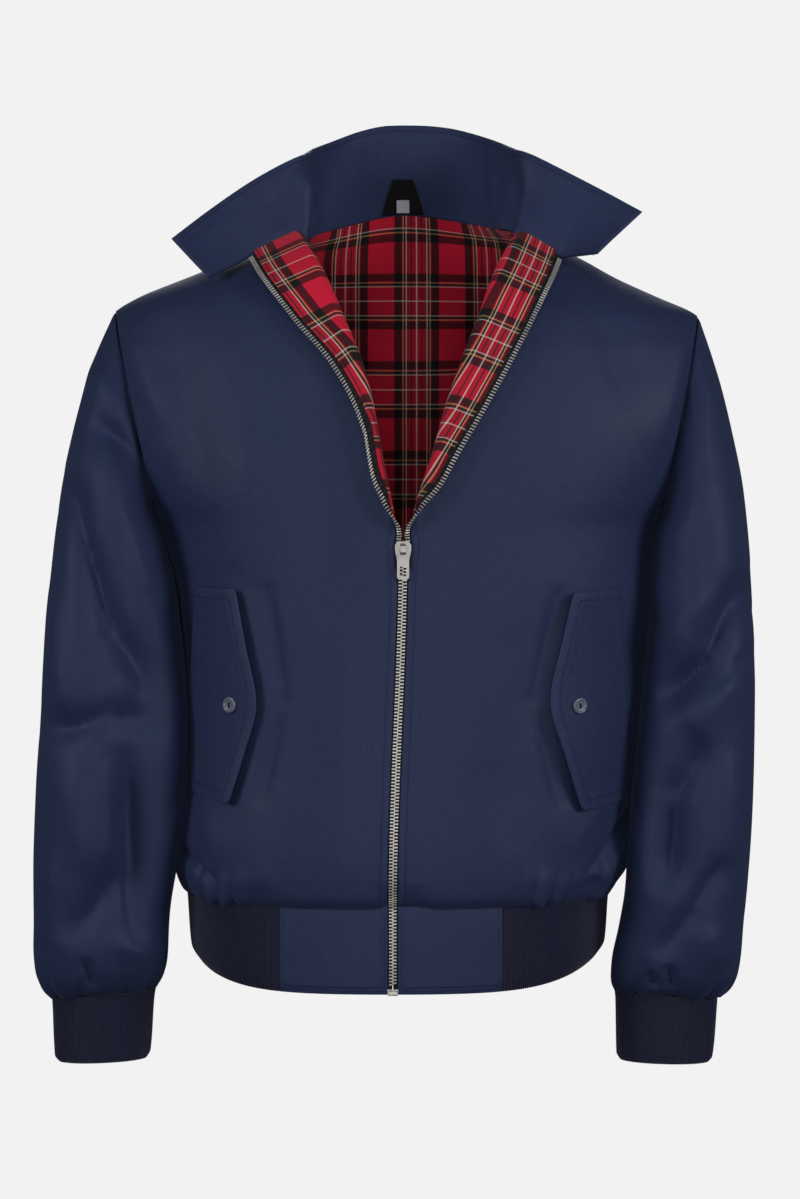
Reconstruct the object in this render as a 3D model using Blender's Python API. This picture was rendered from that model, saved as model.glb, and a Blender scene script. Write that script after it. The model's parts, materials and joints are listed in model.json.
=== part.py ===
"""Harrington jacket, filled out as worn and held by its wearer.

Every piece that is cut and sewn is one closed solid: a thin wall that follows the
form of a general figure.  Metres, +Z up, the front faces -Y.  Left and right are the
wearer's, so left is +X.  The origin lies between the shoulders, level with the side neck.
"""
import math

import bmesh
import bpy
from mathutils import Matrix, Vector

# ---------------------------------------------------------------- driving dimensions
MM = 0.001

SEAM_Y = 15 * MM            # depth of the shoulder seam, side seam and sleeve seam
HEM_Z = -552.5 * MM         # seam between body and hem band
NECK_BACK_Z = 21 * MM       # height of the neckline at the centre back
BACK_ARM_Z = -250 * MM      # height at the centre back of the row from the underarm
BACK_TIP_Z = -62 * MM       # height at the centre back of the row from the shoulder tip
ROUNDNESS = 2.4             # power of the superellipse that a section follows
SHOULDER_ROUNDNESS = 2.0    # the same at the shoulders

SHELL = 1.6 * MM            # thickness of the shell cloth
LINING = 1.0 * MM           # thickness of the lining cloth
RIB = 2.6 * MM              # thickness of the rib knit
COLLAR = 3.0 * MM           # thickness of the interlined collar
FLAP = 2.2 * MM             # thickness of a pocket flap
TAPE = 1.0 * MM             # thickness of the zip tape
LABEL = 1.0 * MM            # thickness of a label
SEAM = 0.4 * MM             # gap between two pieces at a seam
LINING_IN = SHELL + SEAM    # depth of the lining's outer face behind the shell's
LINING_EASE = 2.0 * MM      # how far the lining hangs off the shell inside a panel
ROLL_EASE = 0.8 * MM        # and where the front turns into its roll
STACK = LINING_IN + LINING

ZIP_TOP_Z = -259 * MM       # where the closed zip ends, inside the slider
ZIP_REACH = 7.4 * MM        # from the shell's edge to the middle of the chain
TAPE_HALF_GAP = 0.3 * MM    # from the tape's edge to the middle of the chain
ZIP_PARTING = 2.4 * MM      # how far each chain has left the middle at the slider's top
ROLL_FOOT_Z = -249 * MM     # where the open front starts to roll, above the slider
ROLL_TIP_Z = -95 * MM       # height at the roll of the row from the shoulder tip
ROLL_RADIUS = 4.0 * MM      # inner radius of the soft roll at the open front
ROLL_EASE_Z = 60 * MM       # height over which the roll opens above the slider
STRIP_MIN = 4.0 * MM        # least width of the turned strip above the slider
EDGE_LIFT = 7.0 * MM        # how far the turned edge stands off the shell

COLOURS = {
    "shell": (0.030, 0.040, 0.095, 1.0),
    "rib": (0.012, 0.014, 0.040, 1.0),
    "lining": (0.52, 0.012, 0.035, 1.0),
    "tape": (0.010, 0.010, 0.012, 1.0),
    "metal": (0.62, 0.60, 0.57, 1.0),
    "button": (0.10, 0.11, 0.15, 1.0),
    "label": (0.008, 0.008, 0.009, 1.0),
    "size": (0.55, 0.54, 0.60, 1.0),
}


class Table:
    """A short table with named columns, read by a smooth curve that never overshoots."""

    def __init__(self, names, *rows):
        self.names = names.split()
        self.rows = sorted(rows)

    def at(self, key, name):
        column = self.names.index(name)
        xs = [row[0] for row in self.rows]
        ys = [row[column] for row in self.rows]
        if key <= xs[0]:
            return ys[0]
        if key >= xs[-1]:
            return ys[-1]
        i = max(k for k in range(len(xs) - 1) if xs[k] <= key)
        width = xs[i + 1] - xs[i]
        slopes = [(ys[k + 1] - ys[k]) / (xs[k + 1] - xs[k]) for k in range(len(xs) - 1)]

        def tangent(k):
            if k == 0 or k == len(xs) - 1:
                return slopes[min(k, len(slopes) - 1)]
            before, after = slopes[k - 1], slopes[k]
            if before * after <= 0:
                return 0.0
            return 2 * before * after / (before + after)

        t = (key - xs[i]) / width
        rise = ys[i + 1] - ys[i]
        a = tangent(i) * width - rise
        b = rise - tangent(i + 1) * width
        return ys[i] + t * rise + t * (1 - t) * ((1 - t) * a + t * b)


# side: -1 is the wearer's right, +1 the wearer's left; lengths in millimetres
SIDES = {"right": -1, "left": 1}
SHOULDER_TIP = {-1: (244 * MM, -62 * MM), 1: (250 * MM, -66 * MM)}
UNDERARM = {-1: (207 * MM, -242 * MM), 1: (216 * MM, -242 * MM)}
NECK_SIDE_Z = {-1: 0 * MM, 1: 8 * MM}

# half width of a section: body, then the form that the armholes cut, then the shoulders
BODY = Table(
    "z         right  left",
    (-552.5, 184.0, 177.0),
    (-545.0, 188.5, 184.0),
    (-533.0, 192.5, 191.5),
    (-510.0, 192.0, 193.5),
    (-470.0, 187.5, 197.0),
    (-426.0, 184.5, 202.0),
    (-375.0, 187.0, 207.0),
    (-307.0, 194.0, 212.0),
    (-262.0, 202.5, 214.0),
    (-242.0, 207.0, 216.0),
    (-220.0, 221.0, 229.0),
    (-190.0, 238.0, 245.0),
    (-152.0, 256.0, 261.0),
    (-120.0, 264.0, 268.0),
    (-95.0, 262.0, 267.0),
    (-77.0, 255.0, 259.0),
    (-66.0, 247.5, 250.0),
    (-62.0, 244.0, 244.0),
    (-51.0, 226.0, 218.5),
    (-34.0, 184.5, 181.0),
    (-17.0, 140.0, 150.0),
    (0.0, 90.0, 113.0),
    (8.0, 80.0, 90.0),
    (21.0, 60.0, 66.0),
)
DEPTH = Table(
    "z         front   back",
    (-552.5, -127.0, 110.0),
    (-545.0, -133.0, 114.0),
    (-530.0, -139.0, 119.0),
    (-500.0, -141.0, 120.0),
    (-440.0, -139.0, 117.0),
    (-350.0, -136.5, 117.0),
    (-250.0, -133.0, 121.0),
    (-200.0, -129.5, 122.5),
    (-150.0, -124.0, 122.0),
    (-100.0, -113.0, 117.0),
    (-62.0, -97.0, 109.5),
    (-40.0, -83.0, 104.0),
    (-20.0, -66.0, 97.0),
    (0.0, -45.0, 90.0),
    (21.0, -30.0, 84.0),
)
# innermost line of the roll and the line of the open chain, measured from the centre
ROLL_LINE = Table(
    "z         right  left",
    (-259.0, 1.3, 1.3),
    (-250.0, 4.2, 4.2),
    (-225.0, 8.3, 9.4),
    (-184.0, 16.5, 22.5),
    (-143.0, 23.1, 33.5),
    (-110.0, 31.4, 45.0),
    (-69.0, 48.0, 61.0),
    (-28.0, 67.0, 77.0),
    (-4.0, 81.0, 92.0),
)
CHAIN_LINE = Table(
    "z         right  left",
    (-259.0, 0.3, 0.3),
    (-225.0, 13.2, 22.0),
    (-184.0, 25.5, 43.0),
    (-143.0, 39.4, 67.5),
    (-110.0, 57.5, 86.5),
    (-69.0, 93.1, 109.0),
    (-28.0, 124.6, 129.0),
    (-22.0, 127.5, 131.0),
)
ROLL_TOP_Z = -4 * MM
CHAIN_TOP_Z = -22 * MM

# soft folds on the cloth seen from the front: from, to, half width and height of the ridge
BODY_FOLDS = (
    # x0     z0      x1     z1    width height
    (190.0, -496.0, 158.0, -540.0, 11.0, 4.0),
    (-96.0, -530.0, -112.0, -550.0, 9.0, 2.5),
    (-172.0, -122.0, -205.0, -182.0, 16.0, 3.5),
    (203.0, -124.0, 214.0, -192.0, 15.0, 4.0),
)
SLEEVE_FOLDS = {
    -1: (
        (-262.0, -88.0, -230.0, -124.0, 13.0, 4.0),
        (-256.0, -158.0, -214.0, -194.0, 14.0, 5.0),
        (-286.0, -214.0, -256.0, -322.0, 16.0, 5.0),
        (-256.0, -322.0, -212.0, -376.0, 14.0, 6.0),
        (-246.0, -528.0, -290.0, -582.0, 15.0, 6.0),
        (-302.0, -462.0, -258.0, -500.0, 13.0, 4.0),
    ),
    1: (
        (238.0, -150.0, 233.0, -205.0, 13.0, 4.5),
        (291.0, -322.0, 252.0, -366.0, 14.0, 6.5),
        (252.0, -366.0, 212.0, -398.0, 13.0, 5.5),
        (238.0, -464.0, 230.0, -560.0, 15.0, 5.5),
        (268.0, -536.0, 233.0, -598.0, 15.0, 6.0),
        (286.0, -416.0, 260.0, -456.0, 13.0, 4.0),
    ),
}
BACK_FOLDS = (
    (-178.0, -150.0, -150.0, -215.0, 13.0, 3.5),
    (184.0, -150.0, 154.0, -220.0, 13.0, 3.5),
    (-120.0, -500.0, -92.0, -548.0, 9.0, 3.5),
    (132.0, -494.0, 100.0, -548.0, 9.0, 3.5),
)

GATHER_PITCH = 19 * MM      # spacing of the gathers along the hem seam
GATHER_DEPTH = 3.2 * MM     # how far a gather stands out at its fullest
GATHER_TOP_Z = -505 * MM    # where the longest gathers fade out
PLAIN_HALF = 97 * MM        # half of the plain stretch at the front, over the tabs

# outer and inner outline, middle depth and half depth of the sleeve, from armhole to cuff
SLEEVES = {
    -1: Table(
        "v      ox      oz      ix      iz     mid   half",
        (0.00, 244.0, -62.0, 207.0, -242.0, 15.0, 75.0),
        (0.07, 262.0, -105.0, 205.9, -252.0, 4.0, 77.0),
        (0.14, 277.5, -160.0, 202.3, -265.0, -7.0, 77.5),
        (0.22, 288.5, -215.0, 196.8, -287.0, -16.0, 76.0),
        (0.31, 296.0, -280.0, 190.4, -322.0, -24.0, 72.5),
        (0.41, 301.5, -345.0, 185.3, -365.0, -31.0, 68.5),
        (0.50, 304.7, -400.0, 182.5, -410.0, -35.0, 65.0),
        (0.61, 309.0, -465.0, 185.2, -468.0, -36.0, 61.5),
        (0.73, 311.5, -535.0, 192.3, -533.0, -34.0, 57.5),
        (0.84, 311.5, -588.0, 198.2, -582.0, -29.0, 53.0),
        (0.92, 308.0, -620.0, 203.0, -613.0, -24.0, 46.0),
        (0.97, 302.5, -636.0, 207.5, -628.0, -20.0, 38.0),
        (1.00, 298.5, -641.5, 210.0, -634.0, -18.0, 33.0),
    ),
    1: Table(
        "v      ox      oz      ix      iz     mid   half",
        (0.00, 250.0, -66.0, 216.0, -242.0, 15.0, 75.0),
        (0.07, 263.5, -108.0, 215.2, -252.0, 4.0, 77.0),
        (0.14, 276.5, -160.0, 213.7, -265.0, -7.0, 77.5),
        (0.22, 286.5, -213.0, 211.7, -287.0, -16.0, 76.0),
        (0.31, 292.5, -280.0, 208.8, -322.0, -24.0, 72.5),
        (0.41, 295.3, -345.0, 205.0, -365.0, -31.0, 68.5),
        (0.50, 295.6, -400.0, 200.2, -410.0, -35.0, 65.0),
        (0.61, 294.3, -465.0, 194.2, -468.0, -36.0, 61.5),
        (0.73, 291.0, -535.0, 189.8, -533.0, -34.0, 57.5),
        (0.84, 286.0, -588.0, 182.5, -582.0, -29.0, 53.0),
        (0.92, 279.5, -622.0, 178.8, -614.0, -24.0, 46.0),
        (0.97, 273.0, -636.0, 178.6, -630.0, -20.0, 38.0),
        (1.00, 267.5, -641.5, 180.0, -636.0, -18.0, 33.0),
    ),
}
CUFFS = {
    -1: Table(
        "v      ox      oz      ix      iz     mid   half",
        (0.00, 298.3, -642.0, 210.0, -634.5, -18.0, 32.8),
        (0.15, 297.8, -650.0, 211.5, -643.0, -18.0, 31.5),
        (0.92, 296.0, -693.0, 215.0, -689.0, -18.0, 31.0),
        (1.00, 292.5, -697.5, 218.0, -694.5, -18.0, 30.0),
    ),
    1: Table(
        "v      ox      oz      ix      iz     mid   half",
        (0.00, 267.3, -642.0, 180.0, -636.5, -18.0, 32.8),
        (0.15, 266.8, -650.0, 180.8, -645.0, -18.0, 31.5),
        (0.92, 263.0, -694.0, 181.8, -691.0, -18.0, 31.0),
        (1.00, 260.0, -697.8, 184.5, -696.0, -18.0, 30.0),
    ),
}
CAP_END = 0.22              # share of the sleeve over which it takes the armhole's form
CUFF_GATHERS = 9            # gathers round each sleeve end
CUFF_GATHER_DEPTH = 3.0 * MM

# hem band: half widths, depths and the height of each level, at the side and at the front
BAND = Table(
    "v      right  left   front    back   side_z  front_z",
    (0.00, 183.5, 176.5, -126.5, 109.5, -553.0, -553.0),
    (0.12, 183.0, 175.5, -127.5, 108.5, -559.0, -561.0),
    (0.85, 180.0, 172.5, -125.0, 104.0, -598.0, -616.0),
    (1.00, 175.0, 168.0, -122.5, 100.5, -605.0, -627.0),
)
TAB_HALF = {-1: 95 * MM, 1: 90 * MM}   # from the centre line to the end of each tab

# collar, one side: share of the way from centre back to wing end, and its top edge
COLLAR_TOP = {
    -1: Table(
        "s      x       y      z",
        (0.00, 0.0, 118.0, 99.0),
        (0.05, 13.0, 117.6, 98.6),
        (0.14, 36.0, 114.5, 94.0),
        (0.28, 63.0, 91.0, 84.0),
        (0.42, 79.5, 52.0, 76.5),
        (0.54, 84.5, 19.0, 72.0),
        (0.64, 88.0, 2.0, 69.3),
        (0.70, 100.0, -5.5, 63.0),
        (0.79, 127.0, -10.0, 47.5),
        (0.90, 163.0, -15.0, 22.5),
        (1.00, 194.5, -22.0, -2.0),
    ),
    1: Table(
        "s      x       y      z",
        (0.00, 0.0, 118.0, 99.0),
        (0.05, 14.0, 117.6, 98.8),
        (0.14, 39.0, 115.5, 96.5),
        (0.28, 68.0, 93.0, 89.0),
        (0.42, 87.5, 54.0, 81.0),
        (0.54, 95.0, 22.0, 76.5),
        (0.64, 99.5, 6.0, 74.0),
        (0.70, 109.5, -2.0, 69.5),
        (0.79, 135.0, -9.0, 56.5),
        (0.90, 170.0, -15.5, 38.0),
        (1.00, 201.0, -22.0, 20.5),
    ),
}
COLLAR_FOOT = {-1: (164 * MM, -52 * MM, -34 * MM), 1: (165 * MM, -52 * MM, -13 * MM)}
COLLAR_BULGE = 5 * MM       # how far the collar bows between its base and its top edge

# pocket flaps: the sewn long edge and the pointed free edge
FLAPS = {
    -1: Table(
        "t      seam_x  seam_z  free_x  free_z",
        (0.00, 171.3, -291.5, 135.0, -290.5),
        (0.26, 174.5, -333.0, 126.0, -337.0),
        (0.50, 176.8, -376.0, 117.9, -384.0),
        (0.76, 176.8, -421.0, 127.5, -427.0),
        (1.00, 175.3, -462.5, 139.7, -470.5),
    ),
    1: Table(
        "t      seam_x  seam_z  free_x  free_z",
        (0.00, 178.1, -292.0, 136.9, -293.5),
        (0.26, 181.5, -333.0, 127.5, -337.5),
        (0.50, 184.0, -376.0, 118.8, -382.5),
        (0.76, 186.3, -423.0, 130.5, -430.0),
        (1.00, 186.0, -471.0, 144.0, -475.5),
    ),
}
FLAP_LIFT_SEAM = 1.0 * MM   # gap under the sewn edge
FLAP_LIFT_FREE = 3.2 * MM   # stand-off under the free edge
BUTTON_AT = {-1: (138.4 * MM, -382 * MM), 1: (141.8 * MM, -383 * MM)}

SLIDER_HALF = 6.75 * MM
SLIDER_LENGTH = 17 * MM
CROWN_HALF = 2.3 * MM
PULL_HALF = 5.0 * MM
PULL_LENGTH = 25 * MM
PULL_THICK = 1.5 * MM


# ---------------------------------------------------------------- the form of the body
def clamp(value, low=0.0, high=1.0):
    return max(low, min(high, value))


def smooth(value):
    value = clamp(value)
    return value * value * (3 - 2 * value)


def centre_x(z):
    """The centre line, which leans 8.5 mm towards the right hem."""
    return -8.5 * MM * smooth((-0.25 - z) / 0.30) if z < -0.25 else 0.0


def face_name(face):
    return "front" if face < 0 else "back"


def side_name(side):
    return "left" if side > 0 else "right"


def power_at(z):
    """Power of the superellipse of a section, rounder towards the shoulders."""
    return SHOULDER_ROUNDNESS + (ROUNDNESS - SHOULDER_ROUNDNESS) * smooth((-0.06 - z) / 0.16)


def reach_at(side, z):
    """Half width of the whole section at height z."""
    return BODY.at(z / MM, side_name(side)) * MM


def depth_at(face, z):
    """Depth of the section before or behind the seams at height z."""
    return abs(DEPTH.at(z / MM, face_name(face)) * MM - SEAM_Y)


def armhole_x(side, z):
    """Distance of the armhole seam from the middle, on a straight line seen from the front."""
    tip_x, tip_z = SHOULDER_TIP[side]
    arm_x, arm_z = UNDERARM[side]
    return arm_x + (tip_x - arm_x) * (z - arm_z) / (tip_z - arm_z)


def angle_of(side, x, z):
    """The angle on a section, from the side to the centre, of the point x from the middle."""
    ratio = clamp(x / reach_at(side, z))
    return math.acos(ratio ** (power_at(z) / 2))


def angle_facing(side, x, z):
    """The same for a point of the front, with the lean of the centre line allowed for."""
    angle = angle_of(side, x, z)
    for _ in range(4):
        angle = angle_of(side, x - side * centre_x(z) * math.sin(angle), z)
    return angle


def angle_at_seam(side, face, z):
    """The angle at which a panel ends: at its side seam, armhole or shoulder seam."""
    gap = (SEAM / 2 / depth_at(face, z)) ** (power_at(z) / 2)
    if UNDERARM[side][1] < z < SHOULDER_TIP[side][1]:
        return max(gap, angle_of(side, armhole_x(side, z), z))
    return gap


def bare(side, face, angle, z):
    """A point of the body's form.  face is -1 at the front and +1 at the back."""
    power = 2 / power_at(z)
    x = side * reach_at(side, z) * max(math.cos(angle), 0.0) ** power
    y = SEAM_Y + face * depth_at(face, z) * max(math.sin(angle), 0.0) ** power
    return Vector((x + centre_x(z) * math.sin(angle), y, z))


def fold_height(point, folds):
    """Height of the soft ridges near a point, seen along Y."""
    total = 0.0
    for x0, z0, x1, z1, width, height in folds:
        start = Vector((x0, z0)) * MM
        along = Vector((x1, z1)) * MM - start
        here = Vector((point.x, point.z)) - start
        part = here.dot(along) / along.length_squared
        off = (here - along * clamp(part)).length
        fade = smooth(1.25 - abs(part - 0.5) * 1.5)
        total += height * MM * fade * math.exp(-(off / (width * MM)) ** 2)
    return total


def gather_height(x, angle, z, face):
    """Height of the gathers over the rib, uneven in depth and in length."""
    if face < 0 and abs(x) < PLAIN_HALF:
        return 0.0
    fade_in = 1.0 if face > 0 else smooth((abs(x) - PLAIN_HALF) / (20 * MM))
    run = angle * 175 * MM if face < 0 else (math.pi / 2 - angle) * 190 * MM + 0.3
    phase = 2 * math.pi * run / GATHER_PITCH
    uneven = 0.66 + 0.34 * math.sin(1.7 * phase / math.pi + math.copysign(1.0, x))
    top = GATHER_TOP_Z - 18 * MM * (0.5 + 0.5 * math.sin(0.8 * phase))
    rise = smooth((top - z) / (25 * MM)) * (1 - 0.45 * smooth((-0.540 - z) / (13 * MM)))
    return GATHER_DEPTH * uneven * rise * fade_in * (0.5 + 0.5 * math.sin(phase))


def form_normal(side, face, angle, z):
    step_angle = 0.01
    step_z = 0.5 * MM
    low = clamp(angle - step_angle, 0.0, math.pi / 2)
    high = clamp(angle + step_angle, 0.0, math.pi / 2)
    across = bare(side, face, high, z) - bare(side, face, low, z)
    up = bare(side, face, angle, z + step_z) - bare(side, face, angle, z - step_z)
    normal = across.cross(up).normalized()
    return normal if side * face > 0 else -normal


def form(side, face, angle, z, dressed=True):
    """A point of the body's form, with the shell's folds and gathers if dressed."""
    point = bare(side, face, angle, z)
    lift = 0.0
    if dressed:
        lift = fold_height(point, BODY_FOLDS if face < 0 else BACK_FOLDS)
        lift += gather_height(point.x, angle, z, face)
    if lift < 1e-6:
        return point
    return point + form_normal(side, face, angle, z) * lift


# ---------------------------------------------------------------- panels of the body
def panel_z(side, v):
    """Height of a row at its seam: v is 0..1 side seam, 1..2 armhole, 2..3 shoulder."""
    tip_z = SHOULDER_TIP[side][1]
    arm_z = UNDERARM[side][1]
    if v <= 1:
        return HEM_Z + (arm_z - HEM_Z) * v
    if v <= 2:
        middle, half = (tip_z + arm_z) / 2, (tip_z - arm_z) / 2
        return middle - half * math.cos(math.pi * (v - 1))
    return tip_z + (NECK_SIDE_Z[side] - tip_z) * (v - 2)


def roll_z(v):
    """Height of a front's row at the roll line."""
    if v <= 1:
        return HEM_Z + (ZIP_TOP_Z - HEM_Z) * v
    if v <= 2:
        return ZIP_TOP_Z + (ROLL_TIP_Z - ZIP_TOP_Z) * (v - 1)
    return ROLL_TIP_Z + (ROLL_TOP_Z - ROLL_TIP_Z) * (v - 2)


def roll_frame(side, v):
    """Start of the roll on the form, with its directions to the centre and outward."""
    z = roll_z(v)
    start = ROLL_LINE.at(z / MM, side_name(side)) * MM + ROLL_RADIUS + STACK
    return start, angle_of(side, start, z), z


def roll_turn(z):
    """How far the open front has rolled outward at height z, in radians."""
    return math.pi * math.sin(math.pi / 2 * clamp((z - ROLL_FOOT_Z) / ROLL_EASE_Z))


def strip_length(side, v):
    """Length of the turned strip past the roll, to the middle of the chain."""
    start, _, z = roll_frame(side, v)
    chain_z = z
    if z > ZIP_TOP_Z:
        share = (z - ZIP_TOP_Z) / (ROLL_TOP_Z - ZIP_TOP_Z)
        chain_z = ZIP_TOP_Z + (CHAIN_TOP_Z - ZIP_TOP_Z) * share
    wanted = CHAIN_LINE.at(chain_z / MM, side_name(side)) * MM - start
    closed = start - TAPE_HALF_GAP - ZIP_PARTING * smooth((z - ZIP_TOP_Z) / (10 * MM))
    opened = clamp((z - ROLL_FOOT_Z) / (0.6 * ROLL_EASE_Z))
    least = STRIP_MIN + (closed - STRIP_MIN) * (1 - opened)
    return max(wanted, least), chain_z


def front_spot(side, u, v):
    """The angle and the height on the form of a front's point between seam and roll."""
    _, inner_angle, inner_z = roll_frame(side, v)
    outer_z = panel_z(side, v)
    outer_angle = angle_at_seam(side, -1, outer_z)
    angle = outer_angle + (inner_angle - outer_angle) * u
    before = smooth(outer_angle / inner_angle)
    fall = (smooth(angle / inner_angle) - before) / (1 - before)
    return angle, outer_z + (inner_z - outer_z) * fall


def front_point(side, u, v, dressed=True):
    """A point of a front's outer face.

    u is 0..1 from the seam to the roll, 1..2 round the roll, and 2..3 out along the
    turned strip to the middle of the chain.  Under the slider u past 1 runs straight on.
    """
    if u <= 1:
        return form(side, -1, *front_spot(side, u, v), dressed)
    start, inner_angle, inner_z = roll_frame(side, v)
    base = form(side, -1, inner_angle, inner_z, dressed)
    outward = form_normal(side, -1, inner_angle, inner_z)
    inward = Vector((-side, 0, 0))
    inward = (inward - outward * inward.dot(outward)).normalized()
    turn = roll_turn(inner_z)
    bend = turn * clamp(u - 1)
    arc = inward * math.sin(bend) + outward * (1 - math.cos(bend))
    point = base + arc * ROLL_RADIUS
    if u <= 2:
        return point
    length, chain_z = strip_length(side, v)
    part = u - 2
    x = start + length * part
    z = inner_z + (chain_z - inner_z) * part
    lift = (EDGE_LIFT - 2 * ROLL_RADIUS) * smooth(part) * clamp((length - STRIP_MIN) / 0.02)
    spot = angle_of(side, x, z)
    flat = form(side, -1, spot, z, dressed) + form_normal(side, -1, spot, z) * lift - base
    axis = inward.cross(outward)
    return point + Matrix.Rotation(-(math.pi - turn), 3, axis) @ flat


def front_normal(side, u, v, dressed=True):
    if u <= 1:
        return form_normal(side, -1, *front_spot(side, u, v))
    return numeric_normal(lambda a, b: front_point(side, a, b, dressed), u, v,
                          (1.0, 3.0), (0.0, 3.0), side > 0)


def path_lengths(side, v):
    """Length round the roll and length of the strip, at row v."""
    turn = roll_turn(roll_z(v))
    return ROLL_RADIUS * turn, strip_length(side, v)[0]


def path_u(side, v, short):
    """The u that lies short of the middle of the chain, along the path."""
    arc, strip = path_lengths(side, v)
    if short <= strip:
        return 3 - short / strip
    if arc > 1e-6 and short <= strip + arc:
        return 2 - (short - strip) / arc
    return 1 - (short - strip - arc) / 0.2


def back_spot(u, v):
    """Side, angle and height on the form of a point of the back, u from -1 to +1."""
    side = 1 if u > 0 else -1
    outer_z = panel_z(side, v)
    if v <= 1:
        centre_z = HEM_Z + (BACK_ARM_Z - HEM_Z) * v
    elif v <= 2:
        centre_z = BACK_ARM_Z + (BACK_TIP_Z - BACK_ARM_Z) * (v - 1)
    else:
        centre_z = BACK_TIP_Z + (NECK_BACK_Z - BACK_TIP_Z) * (v - 2)
    outer_angle = angle_at_seam(side, 1, outer_z)
    angle = math.pi / 2 + (outer_angle - math.pi / 2) * abs(u)
    return side, angle, centre_z + (outer_z - centre_z) * smooth(abs(u))


def back_point(u, v, dressed=True):
    side, angle, z = back_spot(u, v)
    return form(side, 1, angle, z, dressed)


def back_normal(u, v):
    side, angle, z = back_spot(u, v)
    return form_normal(side, 1, angle, z)


# ---------------------------------------------------------------- walls
def numeric_normal(point_at, u, v, u_range, v_range, flip):
    """Normal of a surface given as a function, by small steps kept inside its ranges."""
    du, dv = 2e-3, 2e-3
    u0, u1 = max(u_range[0], u - du), min(u_range[1], u + du)
    v0, v1 = max(v_range[0], v - dv), min(v_range[1], v + dv)
    across = point_at(u1, v) - point_at(u0, v)
    up = point_at(u, v1) - point_at(u, v0)
    return across.cross(up).normalized() * (-1 if flip else 1)


def bridge(faces, first, second, flip):
    """Triangles between two rows of (parameter, vertex), which may differ in number."""
    i = j = 0
    while i < len(first) - 1 or j < len(second) - 1:
        step_first = j == len(second) - 1 or (
            i < len(first) - 1 and first[i + 1][0] <= second[j + 1][0])
        if step_first:
            face = (first[i][1], first[i + 1][1], second[j][1])
            i += 1
        else:
            face = (first[i][1], second[j + 1][1], second[j][1])
            j += 1
        faces.append(face[::-1] if flip else face)


def make_mesh(name, vertices, faces, colour, roughness=0.75, metallic=0.0):
    """A named object with its material, from vertices and faces that close."""
    mesh = bpy.data.meshes.new(name)
    mesh.from_pydata([tuple(v) for v in vertices], [], faces)
    work = bmesh.new()
    work.from_mesh(mesh)
    bmesh.ops.recalc_face_normals(work, faces=work.faces)
    work.to_mesh(mesh)
    work.free()
    mesh.shade_smooth()
    mesh.set_sharp_from_angle(angle=math.radians(40))
    piece = bpy.data.objects.new(name, mesh)
    bpy.context.scene.collection.objects.link(piece)
    piece.data.materials.append(material(colour, roughness, metallic))
    return piece


def material(colour, roughness, metallic):
    name = "mat_" + colour
    found = bpy.data.materials.get(name)
    if found:
        return found
    made = bpy.data.materials.new(name)
    made.use_nodes = True
    shader = made.node_tree.nodes["Principled BSDF"]
    shader.inputs["Base Color"].default_value = COLOURS[colour]
    shader.inputs["Roughness"].default_value = roughness
    shader.inputs["Metallic"].default_value = metallic
    made.diffuse_color = COLOURS[colour]
    return made


def wall(name, rows, colour, closed=False, **finish):
    """A closed wall from rows of (parameter, outer point, inner point).

    The rows may differ in their number of points.  An open wall gets a rim on all four
    sides, and a closed one, such as a tube, on its two ends.
    """
    vertices, outer, inner = [], [], []
    for row in rows:
        line_out, line_in = [], []
        for parameter, out_point, in_point in row:
            line_out.append((parameter, len(vertices)))
            vertices.append(out_point)
            line_in.append((parameter, len(vertices)))
            vertices.append(in_point)
        if closed:
            line_out.append((row[0][0] + 1e6, line_out[0][1]))
            line_in.append((row[0][0] + 1e6, line_in[0][1]))
        outer.append(line_out)
        inner.append(line_in)
    faces = []
    for low, high in zip(outer, outer[1:]):
        bridge(faces, low, high, False)
    for low, high in zip(inner, inner[1:]):
        bridge(faces, low, high, True)
    bridge(faces, inner[0], outer[0], False)
    bridge(faces, outer[-1], inner[-1], False)
    if not closed:
        first_out = [(k, line[0][1]) for k, line in enumerate(outer)]
        first_in = [(k, line[0][1]) for k, line in enumerate(inner)]
        last_out = [(k, line[-1][1]) for k, line in enumerate(outer)]
        last_in = [(k, line[-1][1]) for k, line in enumerate(inner)]
        bridge(faces, first_out, first_in, False)
        bridge(faces, last_in, last_out, False)
    return make_mesh(name, vertices, faces, colour, **finish)


def spread(start, end, count):
    """count + 1 even values from start to end."""
    return [start + (end - start) * k / count for k in range(count + 1)]


# v of the rows of a body panel, closest at the gathered hem and where the front rolls
HEM_ROWS = [0.0, 0.02, 0.055, 0.11, 0.20]
SIDE_ROWS = [0.32, 0.46, 0.60, 0.74, 0.88]
ROLL_ROWS = [1.0, 1.05, 1.10, 1.15, 1.20, 1.26, 1.33, 1.42, 1.54, 1.69, 1.82, 1.93, 2.0]
ARM_ROWS = [1.0, 1.12, 1.26, 1.42, 1.60, 1.78, 1.91, 2.0]
SHOULDER_ROWS = [2.25, 2.5, 2.75, 3.0]
FINE_BELOW = 0.12           # rows below this v take the fine columns of the gathers
# u of the columns from a seam to the roll, closest where the form turns into the side
COLUMNS = [0.0, 0.07, 0.16, 0.27, 0.42, 0.60, 0.80, 1.0]
STRIP_STEP = 14 * MM        # spacing of the points across the turned strip


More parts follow.
